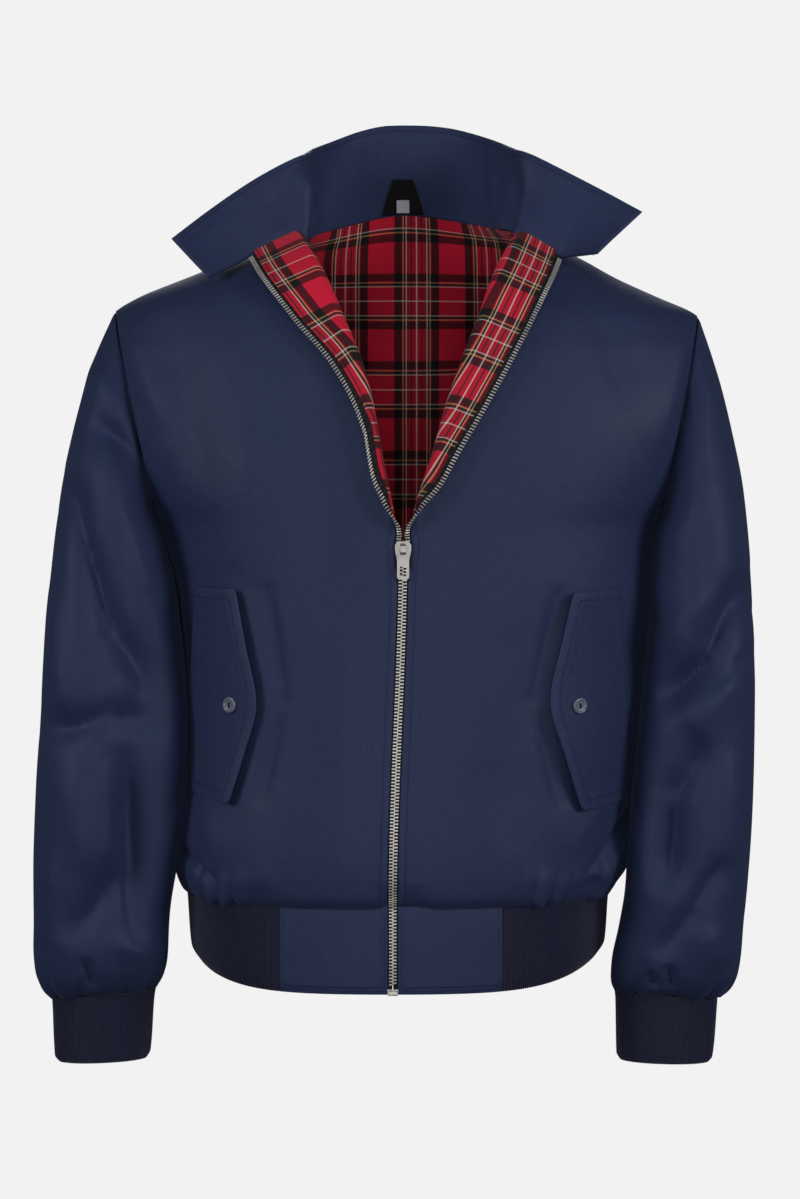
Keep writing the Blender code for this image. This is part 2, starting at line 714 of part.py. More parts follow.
def front_stations(side, v, short, fine=False):
    """The u of a row's points, up to an edge that lies short of the chain's middle."""
    end = path_u(side, v, short)
    arc, strip = path_lengths(side, v)
    us = spread(0.0, 0.72, 36) + [0.80, 0.90, 1.0] if fine else list(COLUMNS)
    if arc < 0.5 * MM:
        return us[:-1] + [end]
    last = path_u(side, v, ZIP_REACH + 2.5 * MM)
    bends = max(1, round(roll_turn(roll_z(v)) / math.radians(36)))
    us += [u for u in spread(1.0, 2.0, bends)[1:] if u < last]
    if last > 2.0:
        us += spread(2.0, last, max(1, round((last - 2.0) * strip / STRIP_STEP)))[1:]
    return us + [end]


def front_wall(name, side, depth_out, depth_in, short, colour, dressed, ease):
    """A front's shell or lining, as a wall between two depths behind the outer face."""
    rows = []
    for v in (HEM_ROWS if dressed else HEM_ROWS[::2]) + SIDE_ROWS + ROLL_ROWS + SHOULDER_ROWS:
        row = []
        stations = front_stations(side, v, short, dressed and v < FINE_BELOW)
        for k, u in enumerate(stations):
            point = front_point(side, u, v, dressed)
            normal = front_normal(side, u, v, dressed)
            slack = ease * math.sin(math.pi * clamp(u)) * math.sin(math.pi * clamp(v / 3))
            if ease:
                slack += ROLL_EASE * smooth(u) * math.sin(math.pi * clamp((v - 1) / 0.6))
            key = u if k < len(stations) - 1 else path_u(side, v, ZIP_REACH)
            row.append((key, point - normal * (depth_out + slack),
                        point - normal * (depth_in + slack)))
        rows.append(row)
    return wall(name, rows, colour)


def back_wall(name, depth_out, depth_in, colour, dressed, ease):
    """The back's shell or lining, from seam to seam."""
    rows = []
    coarse = [u - 1 for u in COLUMNS] + [1 - u for u in COLUMNS[-2::-1]]
    for v in (HEM_ROWS if dressed else HEM_ROWS[::2]) + SIDE_ROWS + ARM_ROWS + SHOULDER_ROWS:
        row = []
        for u in (spread(-1.0, 1.0, 80) if dressed and v < FINE_BELOW else coarse):
            point, normal = back_point(u, v, dressed), back_normal(u, v)
            slack = ease * (1 - u * u) * math.sin(math.pi * clamp(v / 3))
            row.append((u, point - normal * (depth_out + slack),
                        point - normal * (depth_in + slack)))
        rows.append(row)
    return wall(name, rows, colour)


# ---------------------------------------------------------------- sleeves and cuffs
def tube_point(table, side, v, turn, power):
    """A point of a sleeve or cuff; turn runs from the outer side over the front."""
    outer = Vector((side * table.at(v, "ox"), 0, table.at(v, "oz"))) * MM
    inner = Vector((side * table.at(v, "ix"), 0, table.at(v, "iz"))) * MM
    cosine, sine = math.cos(turn), math.sin(turn)
    across = math.copysign(abs(cosine) ** (2 / power), cosine)
    deep = math.copysign(abs(sine) ** (2 / power), sine)
    point = (outer + inner) / 2 + (outer - inner) / 2 * across
    point.y = (table.at(v, "mid") - table.at(v, "half") * deep) * MM
    return point


def armhole_point(side, turn):
    """A point of the armhole seam; turn runs from the shoulder tip over the front."""
    top, foot = SHOULDER_TIP[side][1], UNDERARM[side][1]
    z = (top + foot) / 2 + (top - foot) / 2 * math.cos(turn)
    face = -1 if math.sin(turn) > 0 else 1
    return bare(side, face, angle_of(side, armhole_x(side, z), z), z)


def sleeve_point(side, turn, v):
    """A point of a sleeve's outer face, with its folds and the gathers at the cuff."""
    point = tube_point(SLEEVES[side], side, v, turn, 2.0 + 0.3 * smooth(v / 0.25))
    if v < CAP_END:
        from_armhole = armhole_point(side, turn) - tube_point(SLEEVES[side], side, 0.0, turn, 2.0)
        point += from_armhole * (1 - smooth(v / CAP_END))
    table = SLEEVES[side]
    middle = Vector((side * (table.at(v, "ox") + table.at(v, "ix")) / 2 * MM,
                     table.at(v, "mid") * MM,
                     (table.at(v, "oz") + table.at(v, "iz")) / 2 * MM))
    out = (point - middle).normalized()
    mirrored = Vector((point.x, point.y, point.z + (0.0 if math.sin(turn) > 0 else 0.035)))
    facing = smooth(abs(math.sin(turn)) * 1.6)
    edge = smooth(v / 0.08) * smooth((1 + math.cos(turn)) / 0.6)
    lift = fold_height(mirrored, SLEEVE_FOLDS[side]) * facing * edge
    lift += fold_height(mirrored, SLEEVE_FOLDS[side]) * (1 - facing) * 0.35 * edge
    phase = CUFF_GATHERS * turn + side
    puff = smooth((v - 0.80) / 0.14) * (1 - 0.6 * smooth((v - 0.95) / 0.05))
    lift += CUFF_GATHER_DEPTH * puff * (0.5 + 0.5 * math.sin(phase)) * (
        0.7 + 0.3 * math.sin(2.3 * turn))
    return point + out * lift


def tube_wall(name, point_at, vs, counts, thickness, colour, shift=Vector()):
    """A tube's wall, rows of counts points each, its first ring cut square to the cloth."""
    rows = []
    for v, count in zip(vs, counts):
        middle = (point_at(0.0, v) + point_at(math.pi, v)) / 2
        row = []
        for k in range(count):
            turn = 2 * math.pi * k / count
            point = point_at(turn, v)
            normal = numeric_normal(point_at, turn, v, (-1.0, 7.5), (0.0, 1.0), False)
            if v in (0.0, 1.0):
                normal = (point - middle).normalized()
            elif normal.dot(point - middle) < 0:
                normal = -normal
            row.append((k / count, point + shift, point + shift - normal * thickness))
        rows.append(row)
    return wall(name, rows, colour, closed=True)


def build_sleeve(name, side):
    def point_at(turn, v):
        return sleeve_point(side, turn, v)

    vs = [0.0, 0.05, 0.11, 0.18, 0.25, 0.32, 0.39, 0.46, 0.54, 0.62, 0.70, 0.78, 0.85, 0.90,
          0.94, 0.975, 1.0]
    counts = [20] * 12 + [36] * 5
    shift = Vector((side * 0.8 * MM, 0, -0.2 * MM))
    return tube_wall(name, point_at, vs, counts, SHELL, "shell", shift)


def build_cuff(name, side):
    def point_at(turn, v):
        return tube_point(CUFFS[side], side, v, turn, 2.2)

    return tube_wall(name, point_at, [0.0, 0.15, 0.92, 1.0], [26] * 4, RIB, "rib")


# ---------------------------------------------------------------- hem band
def band_point(turn, v):
    """A point of the band; turn runs from -180 degrees at the back over the front."""
    side = 1 if math.sin(turn) > 0 else -1
    facing = math.cos(turn)
    reach = BAND.at(v, "left" if side > 0 else "right") * MM
    depth = BAND.at(v, "front" if facing > 0 else "back") * MM - SEAM_Y
    z = BAND.at(v, "side_z") * MM
    if facing > 0:
        z += (BAND.at(v, "front_z") * MM - z) * math.sin(abs(facing) * math.pi / 2) ** 2
    else:
        z += (BAND.at(v, "front_z") * MM - z) * 0.35 * facing * facing
    lean = -8.5 * MM * abs(facing)
    x = side * reach * abs(math.sin(turn)) ** (2 / ROUNDNESS) + lean
    y = SEAM_Y + depth * abs(facing) ** (2 / ROUNDNESS)
    return Vector((x, y, z))


def band_turn(side, distance, v):
    """The turn at which the band lies a given distance from the centre line in X."""
    reach = BAND.at(v, "left" if side > 0 else "right") * MM
    return side * math.asin((distance / reach) ** (ROUNDNESS / 2))


def band_wall(name, starts, ends, count, thickness, colour):
    """Part of the band between two turns, each a function of v."""
    rows = []
    for v in (1.0, 0.85, 0.45, 0.12, 0.0):
        row = []
        for turn in spread(starts(v), ends(v), count):
            point = band_point(turn, v)
            ahead = band_point(turn + 1e-3, v) - band_point(turn - 1e-3, v)
            up = band_point(turn, max(v - 0.02, 0)) - band_point(turn, min(v + 0.02, 1))
            normal = ahead.cross(up).normalized()
            row.append((turn, point, point - normal * thickness))
        rows.append(row)
    return wall(name, rows, colour)


def build_band():
    """The two plain tabs beside the zip and the rib knit round the rest."""
    gap = SEAM / 2

    def turn_at(side, distance, whole=0.0):
        return lambda v: whole + band_turn(side, distance, v)

    band_wall("hem_tab_left", turn_at(1, ZIP_REACH), turn_at(1, TAB_HALF[1] - gap), 5,
              RIB, "shell")
    band_wall("hem_tab_right", turn_at(-1, TAB_HALF[-1] - gap), turn_at(-1, ZIP_REACH), 5,
              RIB, "shell")
    band_wall("hem_rib", turn_at(1, TAB_HALF[1] + gap),
              turn_at(-1, TAB_HALF[-1] + gap, 2 * math.pi), 38, RIB, "rib")


# ---------------------------------------------------------------- collar
def collar_base_line(side):
    """Stations of the collar's base, from the centre back to the wing's lower corner.

    Each is a point just past the edge of the panel below it, and the inward direction
    of that panel's thickness.
    """
    def station(point, below, normal):
        return point + (point - below).normalized() * 1.4 * SEAM, -normal

    stations = []
    for u in (side * (1 - u) for u in COLUMNS[::-1]):
        stations.append(station(back_point(u, 3.0), back_point(u, 2.97), back_normal(u, 3.0)))
    for u in front_stations(side, 3.0, 0.0)[1:]:
        stations.append(station(front_point(side, u, 3.0), front_point(side, u, 2.97),
                                front_normal(side, u, 3.0)))
    x, y, z = COLLAR_FOOT[side]
    start, inward = stations[-1]
    foot = Vector((side * x, y, z))
    stations += [(start.lerp(foot, part), inward) for part in (0.33, 0.67, 1.0)]
    return stations


def along(stations, share):
    """The point and the direction at a share of a line's length."""
    lengths = [(b[0] - a[0]).length for a, b in zip(stations, stations[1:])]
    left = share * sum(lengths)
    for k, length in enumerate(lengths):
        if left <= length or k == len(lengths) - 1:
            part = clamp(left / length)
            point = stations[k][0].lerp(stations[k + 1][0], part)
            return point, stations[k][1].lerp(stations[k + 1][1], part).normalized()
        left -= length


def collar_point(lines, s, h):
    """A point of the collar's outer face; s is -1..1 along it and h 0..1 up it."""
    side = 1 if s > 0 else -1
    base, _ = along(lines[side], abs(s))
    table = COLLAR_TOP[side]
    top = Vector((side * table.at(abs(s), "x"), table.at(abs(s), "y"),
                  table.at(abs(s), "z"))) * MM
    bow = COLLAR_BULGE * math.sin(math.pi * h) * (1 - smooth((abs(s) - 0.5) / 0.2))
    return base.lerp(top, h) + Vector((0, 1, 0)) * bow


def build_collar():
    """The collar, its columns set by the points of the panels' edges below it."""
    lines = {side: collar_base_line(side) for side in (-1, 1)}
    columns = [0.0]
    for side, line in lines.items():
        lengths = [(b[0] - a[0]).length for a, b in zip(line, line[1:])]
        shares = [sum(lengths[:k + 1]) / sum(lengths) for k in range(len(lengths))]
        columns += [side * share for share in shares]

    def point_at(s, h):
        return collar_point(lines, s, h)

    rows = []
    for h in (0.0, 0.12, 0.40, 0.72, 1.0):
        row = []
        for s in sorted(columns):
            point = point_at(s, h)
            inward = numeric_normal(point_at, s, h, (-1.0, 1.0), (0.0, 1.0), False)
            if h == 0.0:
                inward = along(lines[1 if s > 0 else -1], abs(s))[1]
            row.append((s, point, point + inward * COLLAR))
        rows.append(row)
    wall("collar", rows, "shell")
    return lines


def build_labels(lines):
    """The bare label and the bare size tab on the collar's inside at the back."""
    def lying(name, half_low, half_high, low, high, depth, colour):
        rows = []
        for h in spread(low, high, 3):
            part = (h - low) / (high - low)
            half = half_low + (half_high - half_low) * part
            row = []
            for x in spread(-half, half, 4):
                s = x / 0.26
                point = collar_point(lines, s, h)
                normal = numeric_normal(lambda a, b: collar_point(lines, a, b), s, h,
                                        (-1.0, 1.0), (0.0, 1.0), False)
                row.append((x, point + normal * (depth + LABEL), point + normal * depth))
            rows.append(row)
        return wall(name, rows, colour)

    over = COLLAR + 0.6 * MM
    lying("neck_label", 19 * MM, 13 * MM, 0.03, 0.40, over, "label")
    lying("size_tab", 6 * MM, 6 * MM, 0.05, 0.19, over + LABEL + 0.35 * MM, "size")


# ---------------------------------------------------------------- flaps and buttons
def flap_point(side, across, t):
    """A point under a flap: across is 0 at the sewn edge and 1 at the free edge."""
    table = FLAPS[side]
    seam = Vector((table.at(t, "seam_x"), table.at(t, "seam_z"))) * MM
    free = Vector((table.at(t, "free_x"), table.at(t, "free_z"))) * MM
    spot = seam.lerp(free, across)
    angle = angle_facing(side, spot.x, spot.y)
    lift = FLAP_LIFT_SEAM + (FLAP_LIFT_FREE - FLAP_LIFT_SEAM) * smooth(across * 1.1)
    return form(side, -1, angle, spot.y, False), form_normal(side, -1, angle, spot.y), lift


def build_flap(name, side):
    rows = []
    for t in (1.0, 0.985, 0.88, 0.76, 0.63, 0.53, 0.50, 0.47, 0.37, 0.26, 0.13, 0.015, 0.0):
        row = []
        corner = 0.04 if t in (1.0, 0.0) else 0.0
        for across in (corner, 0.12, 0.26, 0.48, 0.74, 0.95 - corner, 1.0 - corner * 1.6):
            point, normal, lift = flap_point(side, across, t)
            row.append((across, point + normal * (lift + FLAP), point + normal * lift))
        rows.append(row)
    return wall(name, rows, "shell")


def build_button(name, side):
    """A round button with a raised rim and a dished face."""
    x, z = BUTTON_AT[side]
    table = FLAPS[side]
    t = clamp((z / MM - table.at(0.0, "free_z")) / (table.at(1.0, "free_z") - table.at(0.0, "free_z")))
    seam_x, free_x = table.at(t, "seam_x") * MM, table.at(t, "free_x") * MM
    point, normal, lift = flap_point(side, (seam_x - x) / (seam_x - free_x), t)
    base = point + normal * (lift + FLAP + 0.35 * MM)
    profile = ((0.0, 0.0), (5.6, 0.0), (6.5, 0.9), (6.5, 2.0), (5.7, 2.7), (4.6, 2.2), (0.0, 1.8))
    turn = normal.to_track_quat("Z", "Y").to_matrix()
    count = 16
    vertices = [base + turn @ Vector((0, 0, profile[0][1] * MM))]
    rings = []
    for radius, height in profile[1:-1]:
        ring = []
        for k in range(count):
            angle = 2 * math.pi * k / count
            ring.append(len(vertices))
            spot = Vector((radius * math.cos(angle), radius * math.sin(angle), height)) * MM
            vertices.append(base + turn @ spot)
        rings.append(ring)
    top = len(vertices)
    vertices.append(base + turn @ Vector((0, 0, profile[-1][1] * MM)))
    faces = []
    for k in range(count):
        nxt = (k + 1) % count
        faces.append((0, rings[0][nxt], rings[0][k]))
        for low, high in zip(rings, rings[1:]):
            faces.append((low[k], low[nxt], high[nxt], high[k]))
        faces.append((rings[-1][k], rings[-1][nxt], top))
    return make_mesh(name, vertices, faces, "button", 0.35, 0.6)


# ---------------------------------------------------------------- zip
def tape_point(side, across, v):
    """A point of the tape's front face: across is 0 at the shell and 1 at the chain."""
    short = (ZIP_REACH - 2 * SEAM - TAPE_HALF_GAP) * (1 - across) + TAPE_HALF_GAP
    return front_point(side, min(path_u(side, v, short), 2.9999), v, False)


def band_tape_point(side, across, v):
    short = (ZIP_REACH - 2 * SEAM - TAPE_HALF_GAP) * (1 - across) + TAPE_HALF_GAP
    return band_point(band_turn(side, short, v), v)


def build_tape(name, side):
    """One zip tape, from the foot of the band to the top of the open front."""
    inside = 0.5 * MM
    rows = []
    for v in (0.95, 0.75, 0.5, 0.25, 0.06):
        row = []
        for across in (0.0, 1.0):
            point = band_tape_point(side, across, v) + Vector((0, inside, 0))
            row.append((across, point, point + Vector((0, TAPE, 0))))
        rows.append(row)
    for v in HEM_ROWS + SIDE_ROWS + ROLL_ROWS + SHOULDER_ROWS[:-1] + [2.97]:
        row = []
        for across in (0.0, 1.0):
            point_at = lambda a, b: tape_point(side, a, b)
            point = point_at(across, v)
            normal = numeric_normal(point_at, across, v, (0.0, 1.0), (0.0, 3.0), side > 0)
            row.append((across, point - normal * inside, point - normal * (inside + TAPE)))
        rows.append(row)
    return wall(name, rows, "tape")


def chain_frame():
    """Middle of the slider on the chain, with its outward and downward directions."""
    here = tape_point(1, 1.0, 1.0)
    below = tape_point(1, 1.0, 0.95)
    down = Vector((0, (below - here).y, (below - here).z)).normalized()
    outward = Vector((0, down.z, -down.y))
    middle = Vector((centre_x(here.z), here.y + 1.0 * MM, here.z))
    return middle, outward, down


def slab(work, half, low, high, near, far):
    """A box in the slider's own frame: across, down and outward."""
    made = bmesh.ops.create_cube(work, size=1.0)
    for vertex in made["verts"]:
        vertex.co = Vector((
            vertex.co.x * 2 * half,
            low + (vertex.co.y + 0.5) * (high - low),
            near + (vertex.co.z + 0.5) * (far - near),
        ))
    return made["verts"]


def zip_piece(name, work, colour):
    """Places a piece modelled in the slider's frame and gives it its material."""
    middle, outward, down = chain_frame()
    mesh = bpy.data.meshes.new(name)
    bmesh.ops.recalc_face_normals(work, faces=work.faces)
    for vertex in work.verts:
        across, along_down, out = vertex.co
        vertex.co = middle + Vector((across, 0, 0)) + down * along_down + outward * out
    bmesh.ops.recalc_face_normals(work, faces=work.faces)
    work.to_mesh(mesh)
    work.free()
    mesh.set_sharp_from_angle(angle=math.radians(35))
    piece = bpy.data.objects.new(name, mesh)
    bpy.context.scene.collection.objects.link(piece)
    piece.data.materials.append(material(colour, 0.3, 1.0))
    return piece


def prism(work, outline, near, far, axis):
    """A closed prism over an outline of (a, b) points, thick along the given axis."""
    def place(a, b, c):
        return (c, a, b) if axis == "across" else (a, b, c)

    low = [work.verts.new(place(a, b, near)) for a, b in outline]
    high = [work.verts.new(place(a, b, far)) for a, b in outline]
    work.faces.new(low[::-1])
    work.faces.new(high)
    for k in range(len(outline)):
        nxt = (k + 1) % len(outline)
        work.faces.new((low[k], low[nxt], high[nxt], high[k]))


PLATE_NEAR = 1.5 * MM       # the slider's plates lie this far before and behind the tape
PLATE_FAR = 2.7 * MM
PIVOT_OUT = PLATE_FAR + 1.45 * MM
PIVOT_RADIUS = 0.75 * MM
PIVOT_DOWN = -2.0 * MM


def build_slider():
    """Front and back plate, the wedge that joins them, and the crown over the pull."""
    half_length = SLIDER_LENGTH / 2
    top, low = -half_length, half_length
    outline = [
        (-4.6 * MM, top), (4.6 * MM, top), (SLIDER_HALF, top + 3.0 * MM),
        (SLIDER_HALF, top + 7.0 * MM), (5.3 * MM, low - 2.0 * MM), (4.6 * MM, low),
        (-4.6 * MM, low), (-5.3 * MM, low - 2.0 * MM), (-SLIDER_HALF, top + 7.0 * MM),
        (-SLIDER_HALF, top + 3.0 * MM),
    ]
    parts = []
    for near, far in ((PLATE_NEAR, PLATE_FAR), (-PLATE_FAR, -PLATE_NEAR)):
        work = bmesh.new()
        prism(work, outline, near, far, "out")
        parts.append(zip_piece("slider_plate", work, "metal"))
    work = bmesh.new()
    slab(work, 0.8 * MM, top + 0.2 * MM, top + 2.0 * MM, -PLATE_NEAR - 0.3 * MM, PLATE_NEAR + 0.3 * MM)
    parts.append(zip_piece("slider_wedge", work, "metal"))
    work = bmesh.new()
    crown = [
        (PIVOT_DOWN - 4.6 * MM, PLATE_FAR - 0.3 * MM), (PIVOT_DOWN - 4.6 * MM, PLATE_FAR + 1.6 * MM),
        (PIVOT_DOWN - 2.6 * MM, PLATE_FAR + 3.9 * MM), (PIVOT_DOWN + 2.6 * MM, PLATE_FAR + 3.9 * MM),
        (PIVOT_DOWN + 4.6 * MM, PLATE_FAR + 1.6 * MM), (PIVOT_DOWN + 4.6 * MM, PLATE_FAR - 0.3 * MM),
        (PIVOT_DOWN + 3.0 * MM, PLATE_FAR - 0.3 * MM), (PIVOT_DOWN + 3.0 * MM, PLATE_FAR + 1.2 * MM),
        (PIVOT_DOWN + 1.8 * MM, PLATE_FAR + 2.7 * MM), (PIVOT_DOWN - 1.8 * MM, PLATE_FAR + 2.7 * MM),
        (PIVOT_DOWN - 3.0 * MM, PLATE_FAR + 1.2 * MM), (PIVOT_DOWN - 3.0 * MM, PLATE_FAR - 0.3 * MM),
    ]
    prism(work, crown, -CROWN_HALF, CROWN_HALF, "across")
    parts.append(zip_piece("slider_crown", work, "metal"))
    body = parts[0]
    body.name = "zip_slider"
    for other in parts[1:]:
        union = body.modifiers.new(other.name, "BOOLEAN")
        union.operation = "UNION"
        union.solver = "EXACT"
        union.object = other
        other.hide_render = True
        other.display_type = "WIRE"
    return body


def build_pull():
    """The pull tab: a bar under the crown, two arms past it and a plate with a window."""
    arm_in = CROWN_HALF + 0.6 * MM
    near, far = PIVOT_OUT - PULL_THICK / 2, PIVOT_OUT + PULL_THICK / 2
    start = PIVOT_DOWN - PIVOT_RADIUS
    window = PIVOT_DOWN + 6.6 * MM
    end = PIVOT_DOWN + PULL_LENGTH
    work = bmesh.new()
    outer = [
        (-arm_in - 1.3 * MM, start), (arm_in + 1.3 * MM, start),
        (arm_in + 1.3 * MM, window), (PULL_HALF, window + 3.0 * MM),
        (PULL_HALF, end - 1.5 * MM), (PULL_HALF - 1.5 * MM, end),
        (-PULL_HALF + 1.5 * MM, end), (-PULL_HALF, end - 1.5 * MM),
        (-PULL_HALF, window + 3.0 * MM), (-arm_in - 1.3 * MM, window),
    ]
    prism(work, outer, near, far, "out")
    plate = zip_piece("zip_pull", work, "metal")
    holes = (
        ("pull_top_window", arm_in, PIVOT_DOWN + PIVOT_RADIUS, window),
        ("pull_low_window", 2.6 * MM, end - 10.5 * MM, end - 3.0 * MM),
    )
    for name, half, low, high in holes:
        work = bmesh.new()
        slab(work, half, low, high, near - 1 * MM, far + 1 * MM)
        cutter = zip_piece(name, work, "metal")
        cutter.hide_render = True
        cutter.display_type = "WIRE"
        cut = plate.modifiers.new(name, "BOOLEAN")
        cut.operation = "DIFFERENCE"
        cut.solver = "EXACT"
        cut.object = cutter
    return plate


def build_box():
    """The box that stops the zip at the foot of the band."""
    foot = band_point(0.0, 1.0)
    work = bmesh.new()
    bmesh.ops.create_cube(work, size=1.0)
    for vertex in work.verts:
        vertex.co.x = foot.x + vertex.co.x * 8.6 * MM
        vertex.co.y = foot.y + 1.2 * MM + vertex.co.y * 3.6 * MM
        vertex.co.z = foot.z + 1.2 * MM + vertex.co.z * 4.4 * MM
    bmesh.ops.bevel(work, geom=work.edges[:], offset=0.6 * MM, segments=1, affect="EDGES")
    mesh = bpy.data.meshes.new("zip_box")
    work.to_mesh(mesh)
    work.free()
    piece = bpy.data.objects.new("zip_box", mesh)
    bpy.context.scene.collection.objects.link(piece)
    piece.data.materials.append(material("metal", 0.3, 1.0))
    return piece


# ---------------------------------------------------------------- the jacket
def main():
    for thing in list(bpy.data.objects):
        bpy.data.objects.remove(thing)
    shell_edge = ZIP_REACH
    lining_edge = ZIP_REACH + 0.8 * MM
    for name, side in SIDES.items():
        front_wall("front_" + name, side, 0.0, SHELL, shell_edge, "shell", True, 0.0)
        front_wall("lining_front_" + name, side, LINING_IN, STACK, lining_edge, "lining",
                   False, LINING_EASE)
        build_sleeve("sleeve_" + name, side)
        build_cuff("cuff_" + name, side)
        build_flap("pocket_flap_" + name, side)
        build_button("button_" + name, side)
        build_tape("zip_tape_" + name, side)
    back_wall("back", 0.0, SHELL, "shell", True, 0.0)
    back_wall("lining_back", LINING_IN, STACK, "lining", False, LINING_EASE)
    build_band()
    build_labels(build_collar())
    build_slider()
    build_pull()
    build_box()


main()
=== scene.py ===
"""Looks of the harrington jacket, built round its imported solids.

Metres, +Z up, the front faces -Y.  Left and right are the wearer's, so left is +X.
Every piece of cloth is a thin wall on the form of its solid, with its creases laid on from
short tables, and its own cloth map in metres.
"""
import json
import math
from functools import partial

import bmesh
import bpy
import numpy as np
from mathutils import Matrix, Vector


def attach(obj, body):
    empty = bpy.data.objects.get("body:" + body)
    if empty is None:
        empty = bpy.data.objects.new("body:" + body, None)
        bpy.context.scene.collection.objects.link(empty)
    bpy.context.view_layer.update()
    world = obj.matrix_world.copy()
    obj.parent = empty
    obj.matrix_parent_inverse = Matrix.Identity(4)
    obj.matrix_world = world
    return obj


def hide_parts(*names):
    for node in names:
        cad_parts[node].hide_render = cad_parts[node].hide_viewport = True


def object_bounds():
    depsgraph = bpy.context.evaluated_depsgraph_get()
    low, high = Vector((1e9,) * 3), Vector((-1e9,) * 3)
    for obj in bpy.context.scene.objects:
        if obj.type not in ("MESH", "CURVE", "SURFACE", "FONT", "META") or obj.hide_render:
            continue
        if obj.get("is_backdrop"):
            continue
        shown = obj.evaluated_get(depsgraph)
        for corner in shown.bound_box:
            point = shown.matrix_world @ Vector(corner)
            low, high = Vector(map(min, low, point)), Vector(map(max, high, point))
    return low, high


bl_info = {
    "name": "Harrington jacket",
    "version": (1, 0, 0),
    "blender": (4, 5, 0),
    "location": "3D View > Sidebar > Jacket",
    "description": "Builds a zip-front blouson jacket with a tartan lining round its solids",
    "category": "Object",
}

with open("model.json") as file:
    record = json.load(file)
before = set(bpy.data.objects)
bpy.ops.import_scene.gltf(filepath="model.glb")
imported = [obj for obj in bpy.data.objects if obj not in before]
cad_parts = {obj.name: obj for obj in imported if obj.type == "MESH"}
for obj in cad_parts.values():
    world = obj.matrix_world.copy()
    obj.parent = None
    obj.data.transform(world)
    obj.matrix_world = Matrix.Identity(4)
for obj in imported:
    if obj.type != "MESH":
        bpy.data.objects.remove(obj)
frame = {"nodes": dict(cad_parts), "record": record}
CAD_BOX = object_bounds()
RECORD = frame["record"]

# ---------------------------------------------------------------- sizes of the cut
MM = 0.001
SEAM_Y = 15 * MM
HEM_Z = -552.5 * MM
NECK_BACK_Z = 21 * MM
BACK_ARM_Z = -250 * MM
BACK_TIP_Z = -62 * MM
ROUNDNESS = 2.4
SHOULDER_ROUNDNESS = 2.0
SHELL = 1.6 * MM
LINING = 1.0 * MM
RIB = 2.6 * MM
COLLAR = 3.0 * MM
FLAP = 2.2 * MM
LABEL = 1.0 * MM
SEAM = 0.4 * MM
LINING_IN = SHELL + SEAM
LINING_EASE = 2.0 * MM
ROLL_EASE = 0.8 * MM
STACK = LINING_IN + LINING
ZIP_TOP_Z = -259 * MM
TAPE_HALF_GAP = 0.3 * MM
ZIP_PARTING = 2.4 * MM
ROLL_FOOT_Z = -249 * MM
ROLL_TIP_Z = -95 * MM
ROLL_TOP_Z = -4 * MM
CHAIN_TOP_Z = -22 * MM
ROLL_RADIUS = 4.0 * MM
ROLL_EASE_Z = 60 * MM
STRIP_MIN = 4.0 * MM
EDGE_LIFT = 7.0 * MM


class Table:
    """A short table with named columns, read by a smooth curve that never overshoots."""

    def __init__(self, names, *rows):
        self.names = names.split()
        self.cells = np.array(sorted(rows), float)

    def at(self, key, name):
        x, y = self.cells[:, 0], self.cells[:, self.names.index(name)]
        slope = np.diff(y) / np.diff(x)
        before, after = slope[:-1], slope[1:]
        total = np.where(before * after > 0, before + after, 1.0)
        inner = np.where(before * after > 0, 2 * before * after / total, 0.0)
        tangent = np.concatenate((slope[:1], inner, slope[-1:]))
        key = np.clip(np.asarray(key, float), x[0], x[-1])
        i = np.clip(np.searchsorted(x, key, "right") - 1, 0, len(x) - 2)
        width = x[i + 1] - x[i]
        t = (key - x[i]) / width
        rise = y[i + 1] - y[i]
        a = tangent[i] * width - rise
        b = rise - tangent[i + 1] * width
        return y[i] + t * rise + t * (1 - t) * ((1 - t) * a + t * b)


SIDES = {"right": -1, "left": 1}
SHOULDER_TIP = {-1: (244 * MM, -62 * MM), 1: (250 * MM, -66 * MM)}
UNDERARM = {-1: (207 * MM, -242 * MM), 1: (216 * MM, -242 * MM)}
NECK_SIDE_Z = {-1: 0 * MM, 1: 8 * MM}
BODY = Table(
    "z right left",
    (-552.5, 184.0, 177.0), (-545.0, 188.5, 184.0), (-533.0, 192.5, 191.5),
    (-510.0, 192.0, 193.5), (-470.0, 187.5, 197.0), (-426.0, 184.5, 202.0),
    (-375.0, 187.0, 207.0), (-307.0, 194.0, 212.0), (-262.0, 202.5, 214.0),
    (-242.0, 207.0, 216.0), (-220.0, 221.0, 229.0), (-190.0, 238.0, 245.0),
    (-152.0, 256.0, 261.0), (-120.0, 264.0, 268.0), (-95.0, 262.0, 267.0),
    (-77.0, 255.0, 259.0), (-66.0, 247.5, 250.0), (-62.0, 244.0, 244.0),
    (-51.0, 226.0, 218.5), (-34.0, 184.5, 181.0), (-17.0, 140.0, 150.0),
    (0.0, 90.0, 113.0), (8.0, 80.0, 90.0), (21.0, 60.0, 66.0),
)
DEPTH = Table(
    "z front back",
    (-552.5, -127.0, 110.0), (-545.0, -133.0, 114.0), (-530.0, -139.0, 119.0),
    (-500.0, -141.0, 120.0), (-440.0, -139.0, 117.0), (-350.0, -136.5, 117.0),
    (-250.0, -133.0, 121.0), (-200.0, -129.5, 122.5), (-150.0, -124.0, 122.0),
    (-100.0, -113.0, 117.0), (-62.0, -97.0, 109.5), (-40.0, -83.0, 104.0),
    (-20.0, -66.0, 97.0), (0.0, -45.0, 90.0), (21.0, -30.0, 84.0),
)
